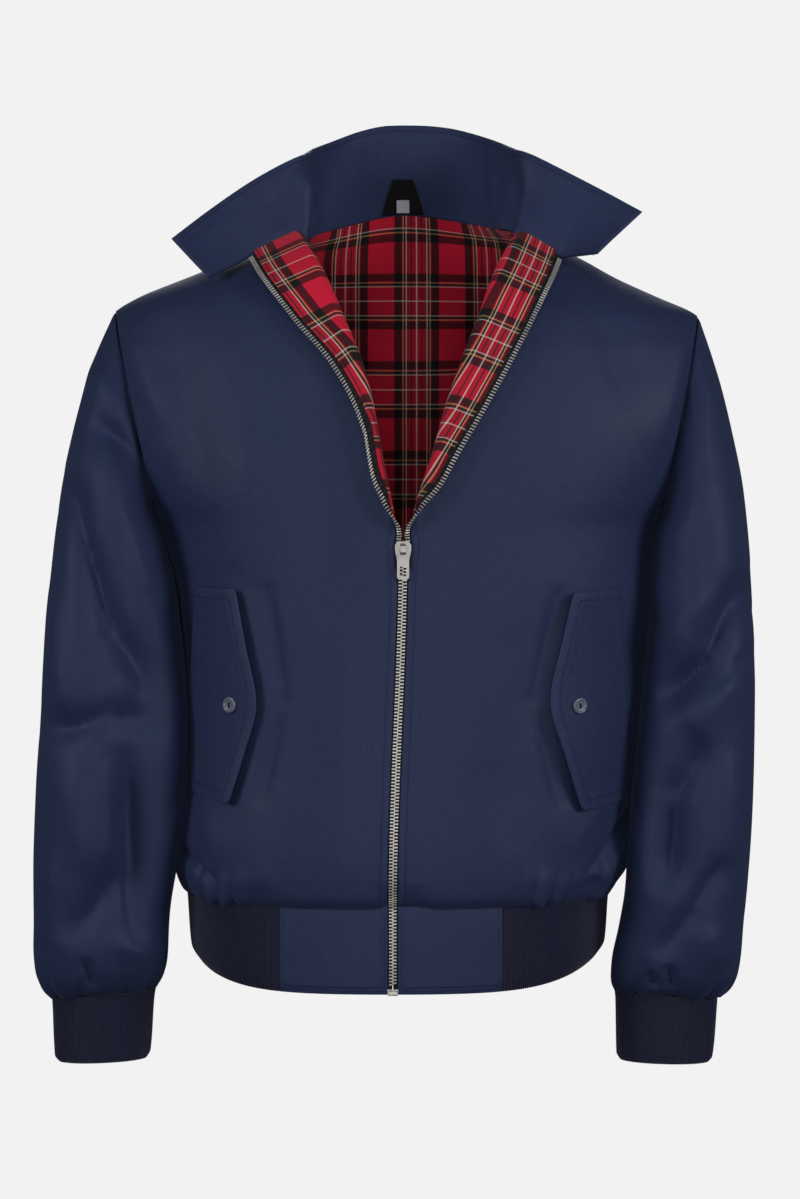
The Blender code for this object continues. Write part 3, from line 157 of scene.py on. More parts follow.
ROLL_LINE = Table(
    "z right left",
    (-259.0, 1.3, 1.3), (-250.0, 4.2, 4.2), (-225.0, 8.3, 9.4), (-184.0, 16.5, 22.5),
    (-143.0, 23.1, 33.5), (-110.0, 31.4, 45.0), (-69.0, 48.0, 61.0), (-28.0, 67.0, 77.0),
    (-4.0, 81.0, 92.0),
)
CHAIN_LINE = Table(
    "z right left",
    (-259.0, 0.3, 0.3), (-225.0, 13.2, 22.0), (-184.0, 25.5, 43.0), (-143.0, 39.4, 67.5),
    (-110.0, 57.5, 86.5), (-69.0, 93.1, 109.0), (-28.0, 124.6, 129.0), (-22.0, 127.5, 131.0),
)
SLEEVE_NAMES = "v ox oz ix iz mid half"
SLEEVES = {
    -1: Table(
        SLEEVE_NAMES,
        (0.00, 244.0, -62.0, 207.0, -242.0, 15.0, 75.0),
        (0.07, 262.0, -105.0, 205.9, -252.0, 4.0, 77.0),
        (0.14, 277.5, -160.0, 202.3, -265.0, -7.0, 77.5),
        (0.22, 288.5, -215.0, 196.8, -287.0, -16.0, 76.0),
        (0.31, 296.0, -280.0, 190.4, -322.0, -24.0, 72.5),
        (0.41, 301.5, -345.0, 185.3, -365.0, -31.0, 68.5),
        (0.50, 304.7, -400.0, 182.5, -410.0, -35.0, 65.0),
        (0.61, 309.0, -465.0, 185.2, -468.0, -36.0, 61.5),
        (0.73, 311.5, -535.0, 192.3, -533.0, -34.0, 57.5),
        (0.84, 311.5, -588.0, 198.2, -582.0, -29.0, 53.0),
        (0.92, 308.0, -620.0, 203.0, -613.0, -24.0, 46.0),
        (0.97, 302.5, -636.0, 207.5, -628.0, -20.0, 38.0),
        (1.00, 298.5, -641.5, 210.0, -634.0, -18.0, 33.0),
    ),
    1: Table(
        SLEEVE_NAMES,
        (0.00, 250.0, -66.0, 216.0, -242.0, 15.0, 75.0),
        (0.07, 263.5, -108.0, 215.2, -252.0, 4.0, 77.0),
        (0.14, 276.5, -160.0, 213.7, -265.0, -7.0, 77.5),
        (0.22, 286.5, -213.0, 211.7, -287.0, -16.0, 76.0),
        (0.31, 292.5, -280.0, 208.8, -322.0, -24.0, 72.5),
        (0.41, 295.3, -345.0, 205.0, -365.0, -31.0, 68.5),
        (0.50, 295.6, -400.0, 200.2, -410.0, -35.0, 65.0),
        (0.61, 294.3, -465.0, 194.2, -468.0, -36.0, 61.5),
        (0.73, 291.0, -535.0, 189.8, -533.0, -34.0, 57.5),
        (0.84, 286.0, -588.0, 182.5, -582.0, -29.0, 53.0),
        (0.92, 279.5, -622.0, 178.8, -614.0, -24.0, 46.0),
        (0.97, 273.0, -636.0, 178.6, -630.0, -20.0, 38.0),
        (1.00, 267.5, -641.5, 180.0, -636.0, -18.0, 33.0),
    ),
}
CUFFS = {
    -1: Table(
        SLEEVE_NAMES,
        (0.00, 298.3, -642.0, 210.0, -634.5, -18.0, 32.8),
        (0.15, 297.8, -650.0, 211.5, -643.0, -18.0, 31.5),
        (0.92, 296.0, -693.0, 215.0, -689.0, -18.0, 31.0),
        (1.00, 292.5, -697.5, 218.0, -694.5, -18.0, 30.0),
    ),
    1: Table(
        SLEEVE_NAMES,
        (0.00, 267.3, -642.0, 180.0, -636.5, -18.0, 32.8),
        (0.15, 266.8, -650.0, 180.8, -645.0, -18.0, 31.5),
        (0.92, 263.0, -694.0, 181.8, -691.0, -18.0, 31.0),
        (1.00, 260.0, -697.8, 184.5, -696.0, -18.0, 30.0),
    ),
}
CAP_END = 0.22
BAND = Table(
    "v right left front back side_z front_z",
    (0.00, 183.5, 176.5, -126.5, 109.5, -553.0, -553.0),
    (0.12, 183.0, 175.5, -127.5, 108.5, -559.0, -561.0),
    (0.85, 180.0, 172.5, -125.0, 104.0, -598.0, -616.0),
    (1.00, 175.0, 168.0, -122.5, 100.5, -605.0, -627.0),
)
TAB_HALF = {-1: 95 * MM, 1: 90 * MM}
BAND_LEAN = -8.5 * MM
BAND_BACK_SAG = 0.35
COLLAR_TOP = {
    -1: Table(
        "s x y z",
        (0.00, 0.0, 118.0, 99.0), (0.05, 13.0, 117.6, 98.6), (0.14, 36.0, 114.5, 94.0),
        (0.28, 63.0, 91.0, 84.0), (0.42, 79.5, 52.0, 76.5), (0.54, 84.5, 19.0, 72.0),
        (0.64, 88.0, 2.0, 69.3), (0.70, 100.0, -5.5, 63.0), (0.79, 127.0, -10.0, 47.5),
        (0.90, 163.0, -15.0, 22.5), (1.00, 194.5, -22.0, -2.0),
    ),
    1: Table(
        "s x y z",
        (0.00, 0.0, 118.0, 99.0), (0.05, 14.0, 117.6, 98.8), (0.14, 39.0, 115.5, 96.5),
        (0.28, 68.0, 93.0, 89.0), (0.42, 87.5, 54.0, 81.0), (0.54, 95.0, 22.0, 76.5),
        (0.64, 99.5, 6.0, 74.0), (0.70, 109.5, -2.0, 69.5), (0.79, 135.0, -9.0, 56.5),
        (0.90, 170.0, -15.5, 38.0), (1.00, 201.0, -22.0, 20.5),
    ),
}
COLLAR_FOOT = {-1: (164 * MM, -52 * MM, -34 * MM), 1: (165 * MM, -52 * MM, -13 * MM)}
COLLAR_BULGE = 5 * MM
FLAPS = {
    -1: Table(
        "t seam_x seam_z free_x free_z",
        (0.00, 171.3, -291.5, 135.0, -290.5), (0.26, 174.5, -333.0, 126.0, -337.0),
        (0.50, 176.8, -376.0, 117.9, -384.0), (0.76, 176.8, -421.0, 127.5, -427.0),
        (1.00, 175.3, -462.5, 139.7, -470.5),
    ),
    1: Table(
        "t seam_x seam_z free_x free_z",
        (0.00, 178.1, -292.0, 136.9, -293.5), (0.26, 181.5, -333.0, 127.5, -337.5),
        (0.50, 184.0, -376.0, 118.8, -382.5), (0.76, 186.3, -423.0, 130.5, -430.0),
        (1.00, 186.0, -471.0, 144.0, -475.5),
    ),
}
FLAP_LIFT_SEAM = 1.0 * MM
BUTTON_AT = {-1: (138.4 * MM, -382 * MM), 1: (141.8 * MM, -383 * MM)}

# ---------------------------------------------------------------- creases and folds
# from, to, bend sideways, half width and height, in millimetres seen from the front;
# a negative height is a trough
FRONT_CREASES = (
    (192.3, -479.6, 156.1, -527.8, 1.7, 4.2, -4.5),
    (195.7, -499.5, 167.7, -534.4, 0.0, 6.4, 5.0),
    (172.5, -464.7, 141.2, -506.2, 0.0, 12.5, 3.0),
    (161.1, -534.4, 146.2, -549.4, 0.0, 3.3, -4.0),
    (-113.0, -291.0, -100.0, -381.9, 0.0, 7.8, -4.5),
    (-100.0, -381.9, -118.5, -464.7, 0.0, 7.4, -4.0),
    (129.2, -296.0, 109.6, -381.9, 0.0, 8.3, -5.0),
    (109.6, -381.9, 131.2, -469.7, 0.0, 7.8, -4.5),
    (-69.9, -150.0, -62.8, -299.3, 0.0, 26.7, -6.0),
    (-125.8, -167.6, -137.5, -266.3, 0.0, 23.5, 4.0),
    (-43.7, -315.8, -52.1, -514.5, 0.0, 23.5, 2.5),
    (58.1, -266.3, 60.2, -431.5, 0.0, 28.2, 3.0),
    (93.0, -332.3, 90.0, -497.9, 0.0, 15.6, -3.0),
    (-198.1, -266.3, -187.2, -381.9, 0.0, 10.1, -4.5),
    (-187.6, -512.5, -156.3, -536.1, 0.0, 4.7, -4.5),
    (-166.0, -464.7, -157.9, -514.5, 0.0, 12.5, 3.0),
    (-229.0, -77.3, -199.7, -151.1, 0.0, 12.5, 4.0),
    (-192.9, -77.3, -167.0, -192.2, 0.0, 18.8, -4.0),
    (235.4, -77.3, 214.4, -167.6, 0.0, 14.1, 4.0),
    (-84.6, -85.5, -109.4, -159.3, 0.0, 18.8, -2.5),
    (161.5, -52.7, 184.7, -134.7, 0.0, 17.2, -4.0),
)
BACK_CREASES = (
    (-204.0, -118.0, -176.0, -215.0, 5.0, 11.0, -4.0),
    (-182.0, -150.0, -146.0, -232.0, 0.0, 13.0, 3.5),
    (208.0, -124.0, 178.0, -206.0, -5.0, 11.0, -4.0),
    (184.0, -150.0, 150.0, -238.0, 0.0, 14.0, 3.5),
    (-128.0, -452.0, -92.0, -548.0, 0.0, 10.0, 3.5),
    (-88.0, -486.0, -70.0, -548.0, 0.0, 8.0, -3.0),
    (132.0, -494.0, 100.0, -548.0, 0.0, 9.0, 3.5),
    (76.0, -466.0, 60.0, -548.0, 0.0, 9.0, -3.0),
    (-30.0, -100.0, -44.0, -330.0, 4.0, 26.0, -3.0),
    (36.0, -120.0, 60.0, -400.0, -4.0, 28.0, -2.5),
    (-8.0, -300.0, 4.0, -480.0, 0.0, 30.0, 2.5),
)
COLLAR_CREASES = (
    (-92.0, 70.0, -82.5, 4.0, 2.0, 5.5, 10.0),
    (-112.0, 52.0, -101.0, 12.0, 0.0, 11.0, -4.0),
    (82.0, 84.0, 91.0, 5.0, -2.0, 5.5, 10.0),
    (100.0, 76.0, 108.0, 20.0, 0.0, 11.0, -4.5),
    (-30.0, 62.0, -20.0, 88.0, 0.0, 20.0, 2.0),
    (-170.0, 6.0, -150.0, 24.0, 0.0, 12.0, 2.5),
    (176.0, 24.0, 158.0, 48.0, 0.0, 12.0, 2.5),
)
# half widths at foot and top, and from and to which share of the collar's height
NECK_LABEL = (19.5 * MM, 9 * MM, -0.035, 0.31)
SIZE_TAB = (5.6 * MM, 5.6 * MM, -0.03, 0.10)
LABEL_MAP_HEIGHT = 80 * MM
LABEL_OVER = 0.6 * MM
TAB_OVER = 0.35 * MM
LABEL_ROWS = 16
LABEL_COLUMNS = 20
# share of the collar's length and of its height
BUTTONHOLES = ((0.045, 0.62), (0.955, 0.62))
# radius and height of the rings of a button, in millimetres
BUTTON_PROFILE = (
    (5.4, -1.4), (6.3, -1.1), (6.6, -0.3), (6.5, 0.6), (6.0, 1.25), (5.3, 1.35),
    (4.7, 1.0), (4.3, 0.45), (3.4, 0.2), (2.2, 0.15), (1.0, 0.15),
)
# place and height of the thread through a button's holes, in millimetres
THREAD_PATH = ((-1.9, 0.2), (-1.5, 0.9), (0.0, 1.15), (1.5, 0.9), (1.9, 0.2))
THREAD_OFF = 0.35
BUTTON_SIDES = 48
SLEEVE_CREASES = {
    -1: (
        (-241.3, -66.8, -219.2, -99.0, 0.0, 6.7, -5.0),
        (-264.7, -112.2, -213.4, -156.2, 0.0, 12.7, 6.5),
        (-254.0, -154.0, -206.5, -195.5, 1.7, 11.0, -15.0),
        (-245.0, -186.9, -212.8, -288.4, 0.0, 13.2, 6.5),
        (-278.0, -204.0, -264.0, -260.0, 0.0, 12.0, -13.0),
        (-264.0, -260.0, -245.0, -322.0, 0.0, 13.5, -19.0),
        (-245.0, -322.0, -190.0, -386.0, 0.0, 16.0, -21.0),
        (-291.0, -300.0, -284.0, -384.0, 0.0, 11.0, 4.5),
        (-298.0, -411.0, -245.0, -396.0, -2.0, 12.0, -11.0),
        (-240.0, -399.0, -190.0, -404.0, 0.0, 19.0, -16.0),
        (-224.0, -432.0, -210.0, -580.0, 0.0, 22.0, -25.0),
        (-272.0, -446.0, -266.0, -520.0, 0.0, 17.0, 6.0),
        (-250.0, -440.0, -243.0, -512.0, 2.5, 9.5, 5.0),
        (-238.0, -534.0, -276.0, -582.0, 0.0, 15.0, -13.0),
        (-289.3, -520.8, -295.3, -587.9, 0.0, 12.0, 4.0),
        (-266.7, -604.9, -260.1, -627.1, 0.0, 4.0, -5.5),
        (-238.2, -588.7, -211.5, -605.2, 0.0, 10.5, 5.5),
    ),
    1: (
        (229.5, -140.4, 223.0, -205.2, 0.0, 8.0, -12.0),
        (256.3, -118.9, 246.6, -193.5, 0.0, 13.5, 4.0),
        (251.6, -201.9, 217.0, -268.4, 0.0, 16.5, 5.5),
        (287.3, -288.1, 252.6, -353.1, -3.4, 14.0, -19.0),
        (252.6, -353.1, 203.0, -390.2, 0.0, 12.5, -23.0),
        (247.0, -296.7, 218.5, -340.4, 0.0, 12.7, 6.5),
        (289.8, -346.7, 254.3, -373.1, 0.0, 6.5, -3.5),
        (276.9, -361.4, 241.1, -402.5, 0.0, 16.0, 7.0),
        (246.5, -420.3, 222.0, -462.5, 3.4, 14.0, -15.0),
        (222.0, -462.5, 216.2, -536.2, 0.0, 16.0, -19.0),
        (272.6, -435.4, 269.6, -519.2, 0.0, 15.0, 5.0),
        (199.2, -443.7, 201.2, -542.7, 0.0, 9.0, 6.0),
        (264.6, -522.2, 239.7, -564.5, 0.0, 9.5, -8.0),
        (239.7, -564.5, 214.7, -598.4, 0.0, 9.7, -8.5),
        (253.1, -577.9, 261.6, -609.9, 0.0, 12.0, 5.5),
        (206.5, -616.3, 211.5, -628.4, 0.0, 4.0, -5.5),
        (221.5, -610.6, 224.9, -628.4, 0.0, 4.0, -5.5),
    ),
}
# mean radii of the body, by which the gathers are spaced
FRONT_GIRTH = 178 * MM
BACK_GIRTH = 190 * MM
BACK_RUN_START = 0.3
GATHER_PITCH = 25 * MM
GATHER_DEPTH = 5.0 * MM
GATHER_TOP_Z = -508 * MM
GATHER_DROP = 5.5 * MM
PLAIN_HALF = 99 * MM
PLAIN_LIFT = 3.0 * MM
# how far the round ribs lie in the knit, their bed and their radius by their pitch
RIB_SINK = 0.55 * MM
RIB_BED = 0.5 * MM
RIB_SHARE = 0.42
BUTTON_THREAD = 0.42 * MM
CUFF_GATHERS = 11
CUFF_SAG = 3.5 * MM
CUFF_GATHER_DEPTH = 4.0 * MM
SEAM_TUCK = 1.3 * MM
SEAM_LAP = 0.8 * MM
ARMHOLE_LAP = 2.4 * MM
LINING_TUCK = 1.9
CREASE_FADE = 16 * MM
FLAP_STITCH = 9.0 * MM
FLAP_SEWN = 2.0 * MM
LINE_POINTS = 160
TOPSTITCH = 5.5 * MM
FAR_FROM_EDGE = 50 * MM
SHELL_REACH = 4.4 * MM
SLIDER_REACH = 6.4 * MM
TAPE_DEPTH = 1.7 * MM
TAPE_THICK = 0.8 * MM
FIRST_TOOTH = 4.5 * MM
LAST_TOOTH = 3 * MM
TOOTH_FOOT = 0.9 * MM
TOOTH_HEIGHT = 2.4 * MM
TOOTH_BEVEL = 0.25 * MM
TOOTH_HEAD = 0.72
FLAP_STAND = 6.4 * MM
BUTTON_STAND = 1.7 * MM
LINING_REACH = 5.4 * MM
# how far a sleeve stays off the body, and between which heights
HUG = 2.4 * MM
HUG_TOP_Z = -224 * MM
HUG_MORE_Z = -330 * MM
HUG_FOOT_Z = -565 * MM
HUG_FADE = 50 * MM
UNDER_SHIFT = 35 * MM
# where a group of the tartan's lines lies, from the middle of the chain or of the back
SETT_CENTRE = {-1: 3.5 * MM, 0: 12 * MM, 1: 21 * MM}
SETT_LEVEL = 30 * MM


# ---------------------------------------------------------------- the cut
# flat width and length and flat area of each sheet, how it is held and what carries it
CUTS = {
    "shell_front_left": (0.30, 0.64, 0.160, "hung", ("shell_collar",)),
    "shell_front_right": (0.29, 0.65, 0.154, "hung", ("shell_collar",)),
    "shell_back": (0.565, 0.59, 0.292, "hung", ("shell_collar",)),
    "lining_front_left_cloth": (0.295, 0.63, 0.157, "hung", ("shell_front_left",)),
    "lining_front_right_cloth": (0.29, 0.64, 0.151, "hung", ("shell_front_right",)),
    "lining_back_cloth": (0.565, 0.59, 0.286, "hung", ("shell_back",)),
    "shell_sleeve_left": (0.485, 0.56, 0.184, "gathered", ("shell_front_left",)),
    "shell_sleeve_right": (0.50, 0.565, 0.197, "gathered", ("shell_front_right",)),
    "rib_cuff_left": (0.215, 0.060, None, "stretched", ("shell_sleeve_left",)),
    "rib_cuff_right": (0.215, 0.060, None, "stretched", ("shell_sleeve_right",)),
    "rib_hem": (0.70, 0.068, None, "stretched", ("shell_back",)),
    "tab_left": (0.090, 0.076, None, "hung", ("shell_front_left",)),
    "tab_right": (0.093, 0.076, None, "hung", ("shell_front_right",)),
    "shell_collar": (0.60, 0.092, 0.042, "folded", ("shell_back",)),
    "shell_flap_left": (0.195, 0.087, 0.0141, "hung", ("shell_front_left",)),
    "shell_flap_right": (0.19, 0.092, 0.0138, "hung", ("shell_front_right",)),
    "tape_left": (0.010, 0.68, 0.0048, "hung", ("shell_front_left",)),
    "tape_right": (0.010, 0.68, 0.0050, "hung", ("shell_front_right",)),
    "label_cloth": (0.039, 0.033, 0.00096, "laid", ("shell_collar",)),
    "size_tab_cloth": (0.0115, 0.0125, None, "laid", ("label_cloth",)),
}


# ---------------------------------------------------------------- small sums
def smooth(value):
    value = np.clip(value, 0.0, 1.0)
    return value * value * (3 - 2 * value)


def unit(vectors):
    return vectors / np.maximum(np.linalg.norm(vectors, axis=-1, keepdims=True), 1e-12)


def stack(x, y, z):
    return np.stack(np.broadcast_arrays(x, y, z), axis=-1).astype(float)


def lerp(a, b, t):
    return a + (b - a) * t


def running_length(points):
    """Length along each row of points, from its first point."""
    steps = np.linalg.norm(np.diff(points, axis=-2), axis=-1)
    start = np.zeros(steps.shape[:-1] + (1,))
    return np.concatenate((start, np.cumsum(steps, axis=-1)), axis=-1)


def along(at, length, points):
    """Points at lengths along a line."""
    return np.stack([np.interp(at, length, points[:, k]) for k in range(3)], -1)


def around(count):
    """Even turns round a tube."""
    return np.arange(count) * 2 * math.pi / count


def lengths_up(points):
    """Length up each column of a grid, from its first row."""
    return running_length(np.swapaxes(points, 0, 1)).T


def up_column(points, column):
    """Length up one column of a grid, as an upright array that spreads over its rows."""
    return running_length(points[:, column])[:, None]


def cloth_lengths(across, up):
    """A cloth map from the lengths across and up a grid."""
    return np.stack(np.broadcast_arrays(across, up), -1)


def rows_by(*spans):
    """Joined even spans, each (start, end, count), without repeating their ends."""
    parts = [np.linspace(a, b, n + 1)[:-1] for a, b, n in spans]
    return np.concatenate(parts + [[spans[-1][1]]])


# ---------------------------------------------------------------- the form of the body
def side_name(side):
    return "left" if side > 0 else "right"


def centre_x(z):
    return np.where(z < -0.25, BAND_LEAN * smooth((-0.25 - z) / 0.30), 0.0)


def power_at(z):
    return SHOULDER_ROUNDNESS + (ROUNDNESS - SHOULDER_ROUNDNESS) * smooth((-0.06 - z) / 0.16)


def reach_at(side, z):
    return np.where(side > 0, BODY.at(z / MM, "left"), BODY.at(z / MM, "right")) * MM


def depth_at(face, z):
    face_y = np.where(face < 0, DEPTH.at(z / MM, "front"), DEPTH.at(z / MM, "back")) * MM
    return np.abs(face_y - SEAM_Y)


def armhole_x(side, z):
    tip_x, tip_z = SHOULDER_TIP[side]
    arm_x, arm_z = UNDERARM[side]
    return arm_x + (tip_x - arm_x) * (z - arm_z) / (tip_z - arm_z)


def angle_of(side, x, z):
    """The angle on a section, from the side to the centre, of the point x from the middle."""
    return np.arccos(np.clip(x / reach_at(side, z), 0.0, 1.0) ** (power_at(z) / 2))


def angle_facing(side, x, z):
    angle = angle_of(side, x, z)
    for _ in range(4):
        angle = angle_of(side, x - side * centre_x(z) * np.sin(angle), z)
    return angle


def angle_at_seam(side, face, z):
    gap = (SEAM / 2 / depth_at(face, z)) ** (power_at(z) / 2)
    if UNDERARM[side][1] < z < SHOULDER_TIP[side][1]:
        return max(gap, angle_of(side, armhole_x(side, z), z))
    return gap


def bare(side, face, angle, z):
    """A point of the body's form.  face is -1 at the front and +1 at the back."""
    power = 2 / power_at(z)
    x = side * reach_at(side, z) * np.maximum(np.cos(angle), 0.0) ** power
    y = SEAM_Y + face * depth_at(face, z) * np.maximum(np.sin(angle), 0.0) ** power
    return stack(x + centre_x(z) * np.sin(angle), y, z)


def form_normal(side, face, angle, z):
    low = np.clip(angle - 0.01, 0.0, math.pi / 2)
    high = np.clip(angle + 0.01, 0.0, math.pi / 2)
    step = 0.5 * MM
    across = bare(side, face, high, z) - bare(side, face, low, z)
    up = bare(side, face, angle, z + step) - bare(side, face, angle, z - step)
    sign = np.asarray(np.sign(side * face), float)
    return unit(np.cross(across, up)) * sign[..., None]


def panel_z(side, v):
    """Height of a row at its seam: v is 0..1 side seam, 1..2 armhole, 2..3 shoulder."""
    tip_z, arm_z = SHOULDER_TIP[side][1], UNDERARM[side][1]
    if v <= 1:
        return HEM_Z + (arm_z - HEM_Z) * v
    if v <= 2:
        middle, half = (tip_z + arm_z) / 2, (tip_z - arm_z) / 2
        return middle - half * math.cos(math.pi * (v - 1))
    return tip_z + (NECK_SIDE_Z[side] - tip_z) * (v - 2)


def roll_z(v):
    if v <= 1:
        return HEM_Z + (ZIP_TOP_Z - HEM_Z) * v
    if v <= 2:
        return ZIP_TOP_Z + (ROLL_TIP_Z - ZIP_TOP_Z) * (v - 1)
    return ROLL_TIP_Z + (ROLL_TOP_Z - ROLL_TIP_Z) * (v - 2)


def roll_frame(side, v):
    z = roll_z(v)
    start = ROLL_LINE.at(z / MM, side_name(side)) * MM + ROLL_RADIUS + STACK
    return start, angle_of(side, start, z), z


def roll_turn(z):
    return math.pi * math.sin(math.pi / 2 * min(1.0, max(0.0, (z - ROLL_FOOT_Z) / ROLL_EASE_Z)))


def strip_length(side, v):
    """Length of the turned strip past the roll to the chain, and the chain's height."""
    start, _, z = roll_frame(side, v)
    chain_z = z
    if z > ZIP_TOP_Z:
        share = (z - ZIP_TOP_Z) / (ROLL_TOP_Z - ZIP_TOP_Z)
        chain_z = ZIP_TOP_Z + (CHAIN_TOP_Z - ZIP_TOP_Z) * share
    wanted = CHAIN_LINE.at(chain_z / MM, side_name(side)) * MM - start
    closed = start - TAPE_HALF_GAP - ZIP_PARTING * smooth((z - ZIP_TOP_Z) / (10 * MM))
    opened = min(1.0, max(0.0, (z - ROLL_FOOT_Z) / (0.6 * ROLL_EASE_Z)))
    least = STRIP_MIN + (closed - STRIP_MIN) * (1 - opened)
    return max(wanted, least), chain_z


def front_spot(side, u, v):
    _, inner_angle, inner_z = roll_frame(side, v)
    outer_z = panel_z(side, v)
    outer_angle = angle_at_seam(side, -1, outer_z)
    angle = outer_angle + (inner_angle - outer_angle) * u
    before = smooth(outer_angle / inner_angle)
    fall = (smooth(angle / inner_angle) - before) / (1 - before)
    return angle, outer_z + (inner_z - outer_z) * fall


def front_row(side, v, u):
    """Points of a front's outer face along row v, without folds.

    u is 0..1 from the seam to the roll, 1..2 round the roll, and 2..3 out along the
    turned strip to the middle of the chain.
    """
    body = bare(side, -1, *front_spot(side, np.minimum(u, 1.0), v))
    start, inner_angle, inner_z = roll_frame(side, v)
    base = bare(side, -1, inner_angle, inner_z)
    outward = form_normal(side, -1, inner_angle, inner_z)
    inward = np.array((-side, 0.0, 0.0))
    inward = unit(inward - outward * inward.dot(outward))
    turn = roll_turn(inner_z)
    bend = (turn * np.clip(u - 1, 0, 1))[:, None]
    arc = (inward * np.sin(bend) + outward * (1 - np.cos(bend))) * ROLL_RADIUS
    length, chain_z = strip_length(side, v)
    part = np.clip(u - 2, 0, 1)
    x, z = start + length * part, inner_z + (chain_z - inner_z) * part
    lift = (EDGE_LIFT - 2 * ROLL_RADIUS) * smooth(part)
    lift = lift * min(1.0, max(0.0, (length - STRIP_MIN) / 0.02))
    spot = angle_of(side, x, z)
    flat = bare(side, -1, spot, z) + form_normal(side, -1, spot, z) * lift[:, None] - base
    axis, angle = np.cross(inward, outward), turn - math.pi
    turned = (flat * math.cos(angle) + np.cross(axis, flat) * math.sin(angle)
              + axis * (flat @ axis)[:, None] * (1 - math.cos(angle)))
    past = base + arc + np.where(u[:, None] > 2, turned, 0.0)
    return np.where(u[:, None] <= 1, body, past)


def path_u(side, v, short):
    """The u that lies short of the middle of the chain, along the path."""
    arc, strip = ROLL_RADIUS * roll_turn(roll_z(v)), strip_length(side, v)[0]
    if short <= strip:
        return 3 - short / strip
    if arc > 1e-6 and short <= strip + arc:
        return 2 - (short - strip) / arc
    return 1 - (short - strip - arc) / 0.2


# ---------------------------------------------------------------- grids
def grid_normals(points, closed=False):
    """Normals of a grid, columns across and rows up, by its neighbours."""
    if closed:
        wide = np.concatenate((points[:, -1:], points, points[:, :1]), axis=1)
        across = (wide[:, 2:] - wide[:, :-2]) / 2
    else:
        across = np.gradient(points, axis=1)
    return unit(np.cross(across, np.gradient(points, axis=0)))


def front_grid(side, rows, columns, short):
    """Points, u and the length from the zip's edge, of a front's outer face.

    short gives how far each row stops from the middle of the chain.
    """
    fine = rows_by((0, 1, 80), (1, 2, 40), (2, 3, 60))
    out, us, lengths = [], [], []
    for v in rows:
        end = path_u(side, v, short(v))
        u = np.append(fine[fine < end - 1e-6], end)
        length = running_length(front_row(side, v, u))
        bend = np.interp(1.5, u, length)
        opened = roll_turn(roll_z(v)) / math.pi
        middle = (length[1:] + length[:-1]) / 2
        weight = 1 + 2.2 * opened * np.exp(-(((middle - bend) / (9 * MM)) ** 2))
        weight += 1.5 * np.exp(-middle / (4 * MM)) + np.exp(-(length[-1] - middle) / (4 * MM))
        reach = np.concatenate(([0.0], np.cumsum(weight * np.diff(length))))
        at = np.interp(np.linspace(0, reach[-1], columns), reach, length)
        spots = np.interp(at, length, u)
        out.append(front_row(side, v, spots))
        us.append(spots)
        lengths.append(length[-1] - at)
    return np.array(out), np.array(us), np.array(lengths)


def back_grid(rows, columns):
    """Points of the back's outer face, u from -1 at the right seam to +1 at the left."""
    u = np.sin(np.linspace(-1, 1, columns) * 1.25) / math.sin(1.25)
    out = []
    for v in rows:
        if v <= 1:
            centre_z = HEM_Z + (BACK_ARM_Z - HEM_Z) * v
        elif v <= 2:
            centre_z = BACK_ARM_Z + (BACK_TIP_Z - BACK_ARM_Z) * (v - 1)
        else:
            centre_z = BACK_TIP_Z + (NECK_BACK_Z - BACK_TIP_Z) * (v - 2)
        row = np.zeros((columns, 3))
        for side in (-1, 1):
            mine = u * side >= 0
            part = np.abs(u[mine])
            outer_z = panel_z(side, v)
            outer_angle = angle_at_seam(side, 1, outer_z)
            angle = math.pi / 2 + (outer_angle - math.pi / 2) * part
            row[mine] = bare(side, 1, angle, centre_z + (outer_z - centre_z) * smooth(part))
        out.append(row)
    return np.array(out), np.broadcast_to(u, (len(rows), columns))


def crease_lift(points, creases):
    """Height of the creases at each point, each a soft line seen along Y."""
    total = np.zeros(points.shape[:-1])
    for x0, z0, x1, z1, bend, width, height in creases:
        start, run = np.array((x0, z0)) * MM, np.array((x1 - x0, z1 - z0)) * MM
        size = np.linalg.norm(run)
        here = points[..., (0, 2)] - start
        part = here @ run / size ** 2
        inside = np.clip(part, 0, 1)
        across = np.array((-run[1], run[0])) / size
        side = here @ across - 4 * bend * MM * inside * (1 - inside)
        beyond = (part - inside) * size
        off = (side ** 2 + beyond ** 2) / (width * MM) ** 2
        fade = smooth(1.25 - np.abs(part - 0.5) * 1.5)
        total += height * MM * fade * np.exp(-(off ** 0.8))
    return total


def seam_tuck(distance):
    """How far cloth dips where it is sewn to its neighbour."""
    return -SEAM_TUCK * np.exp(-((distance / (2.4 * MM)) ** 2))


def gathers(points, run, face):
    """Lift and drop of the gathers over the rib: round swells between pointed notches."""
    x, z = points[..., 0], points[..., 2]
    fade = smooth((np.abs(x) - PLAIN_HALF) / (14 * MM)) if face < 0 else 1.0
    phase = math.pi * (run / GATHER_PITCH + 0.22 * np.sin(run / (23 * MM)))
    swell = np.abs(np.sin(phase)) ** 0.7
    uneven = 0.62 + 0.38 * np.sin(run / (17 * MM) + np.sign(x))
    top = GATHER_TOP_Z - 16 * MM * np.sin(run / (29 * MM)) ** 2
    rise = smooth((top - z) / (24 * MM))
    roll = 1 - 0.8 * smooth((-0.546 - z) / (7 * MM)) ** 2
    drop = GATHER_DROP * (0.72 * swell + 0.14) * smooth((-0.530 - z) / (22 * MM))
    lift = GATHER_DEPTH * uneven * rise * roll * fade * swell
    if face < 0:
        plain = smooth((np.abs(x) - 8 * MM) / (20 * MM)) * (1 - fade)
        lift = lift + PLAIN_LIFT * plain * smooth((-0.532 - z) / (16 * MM))
    return lift, drop * uneven * fade


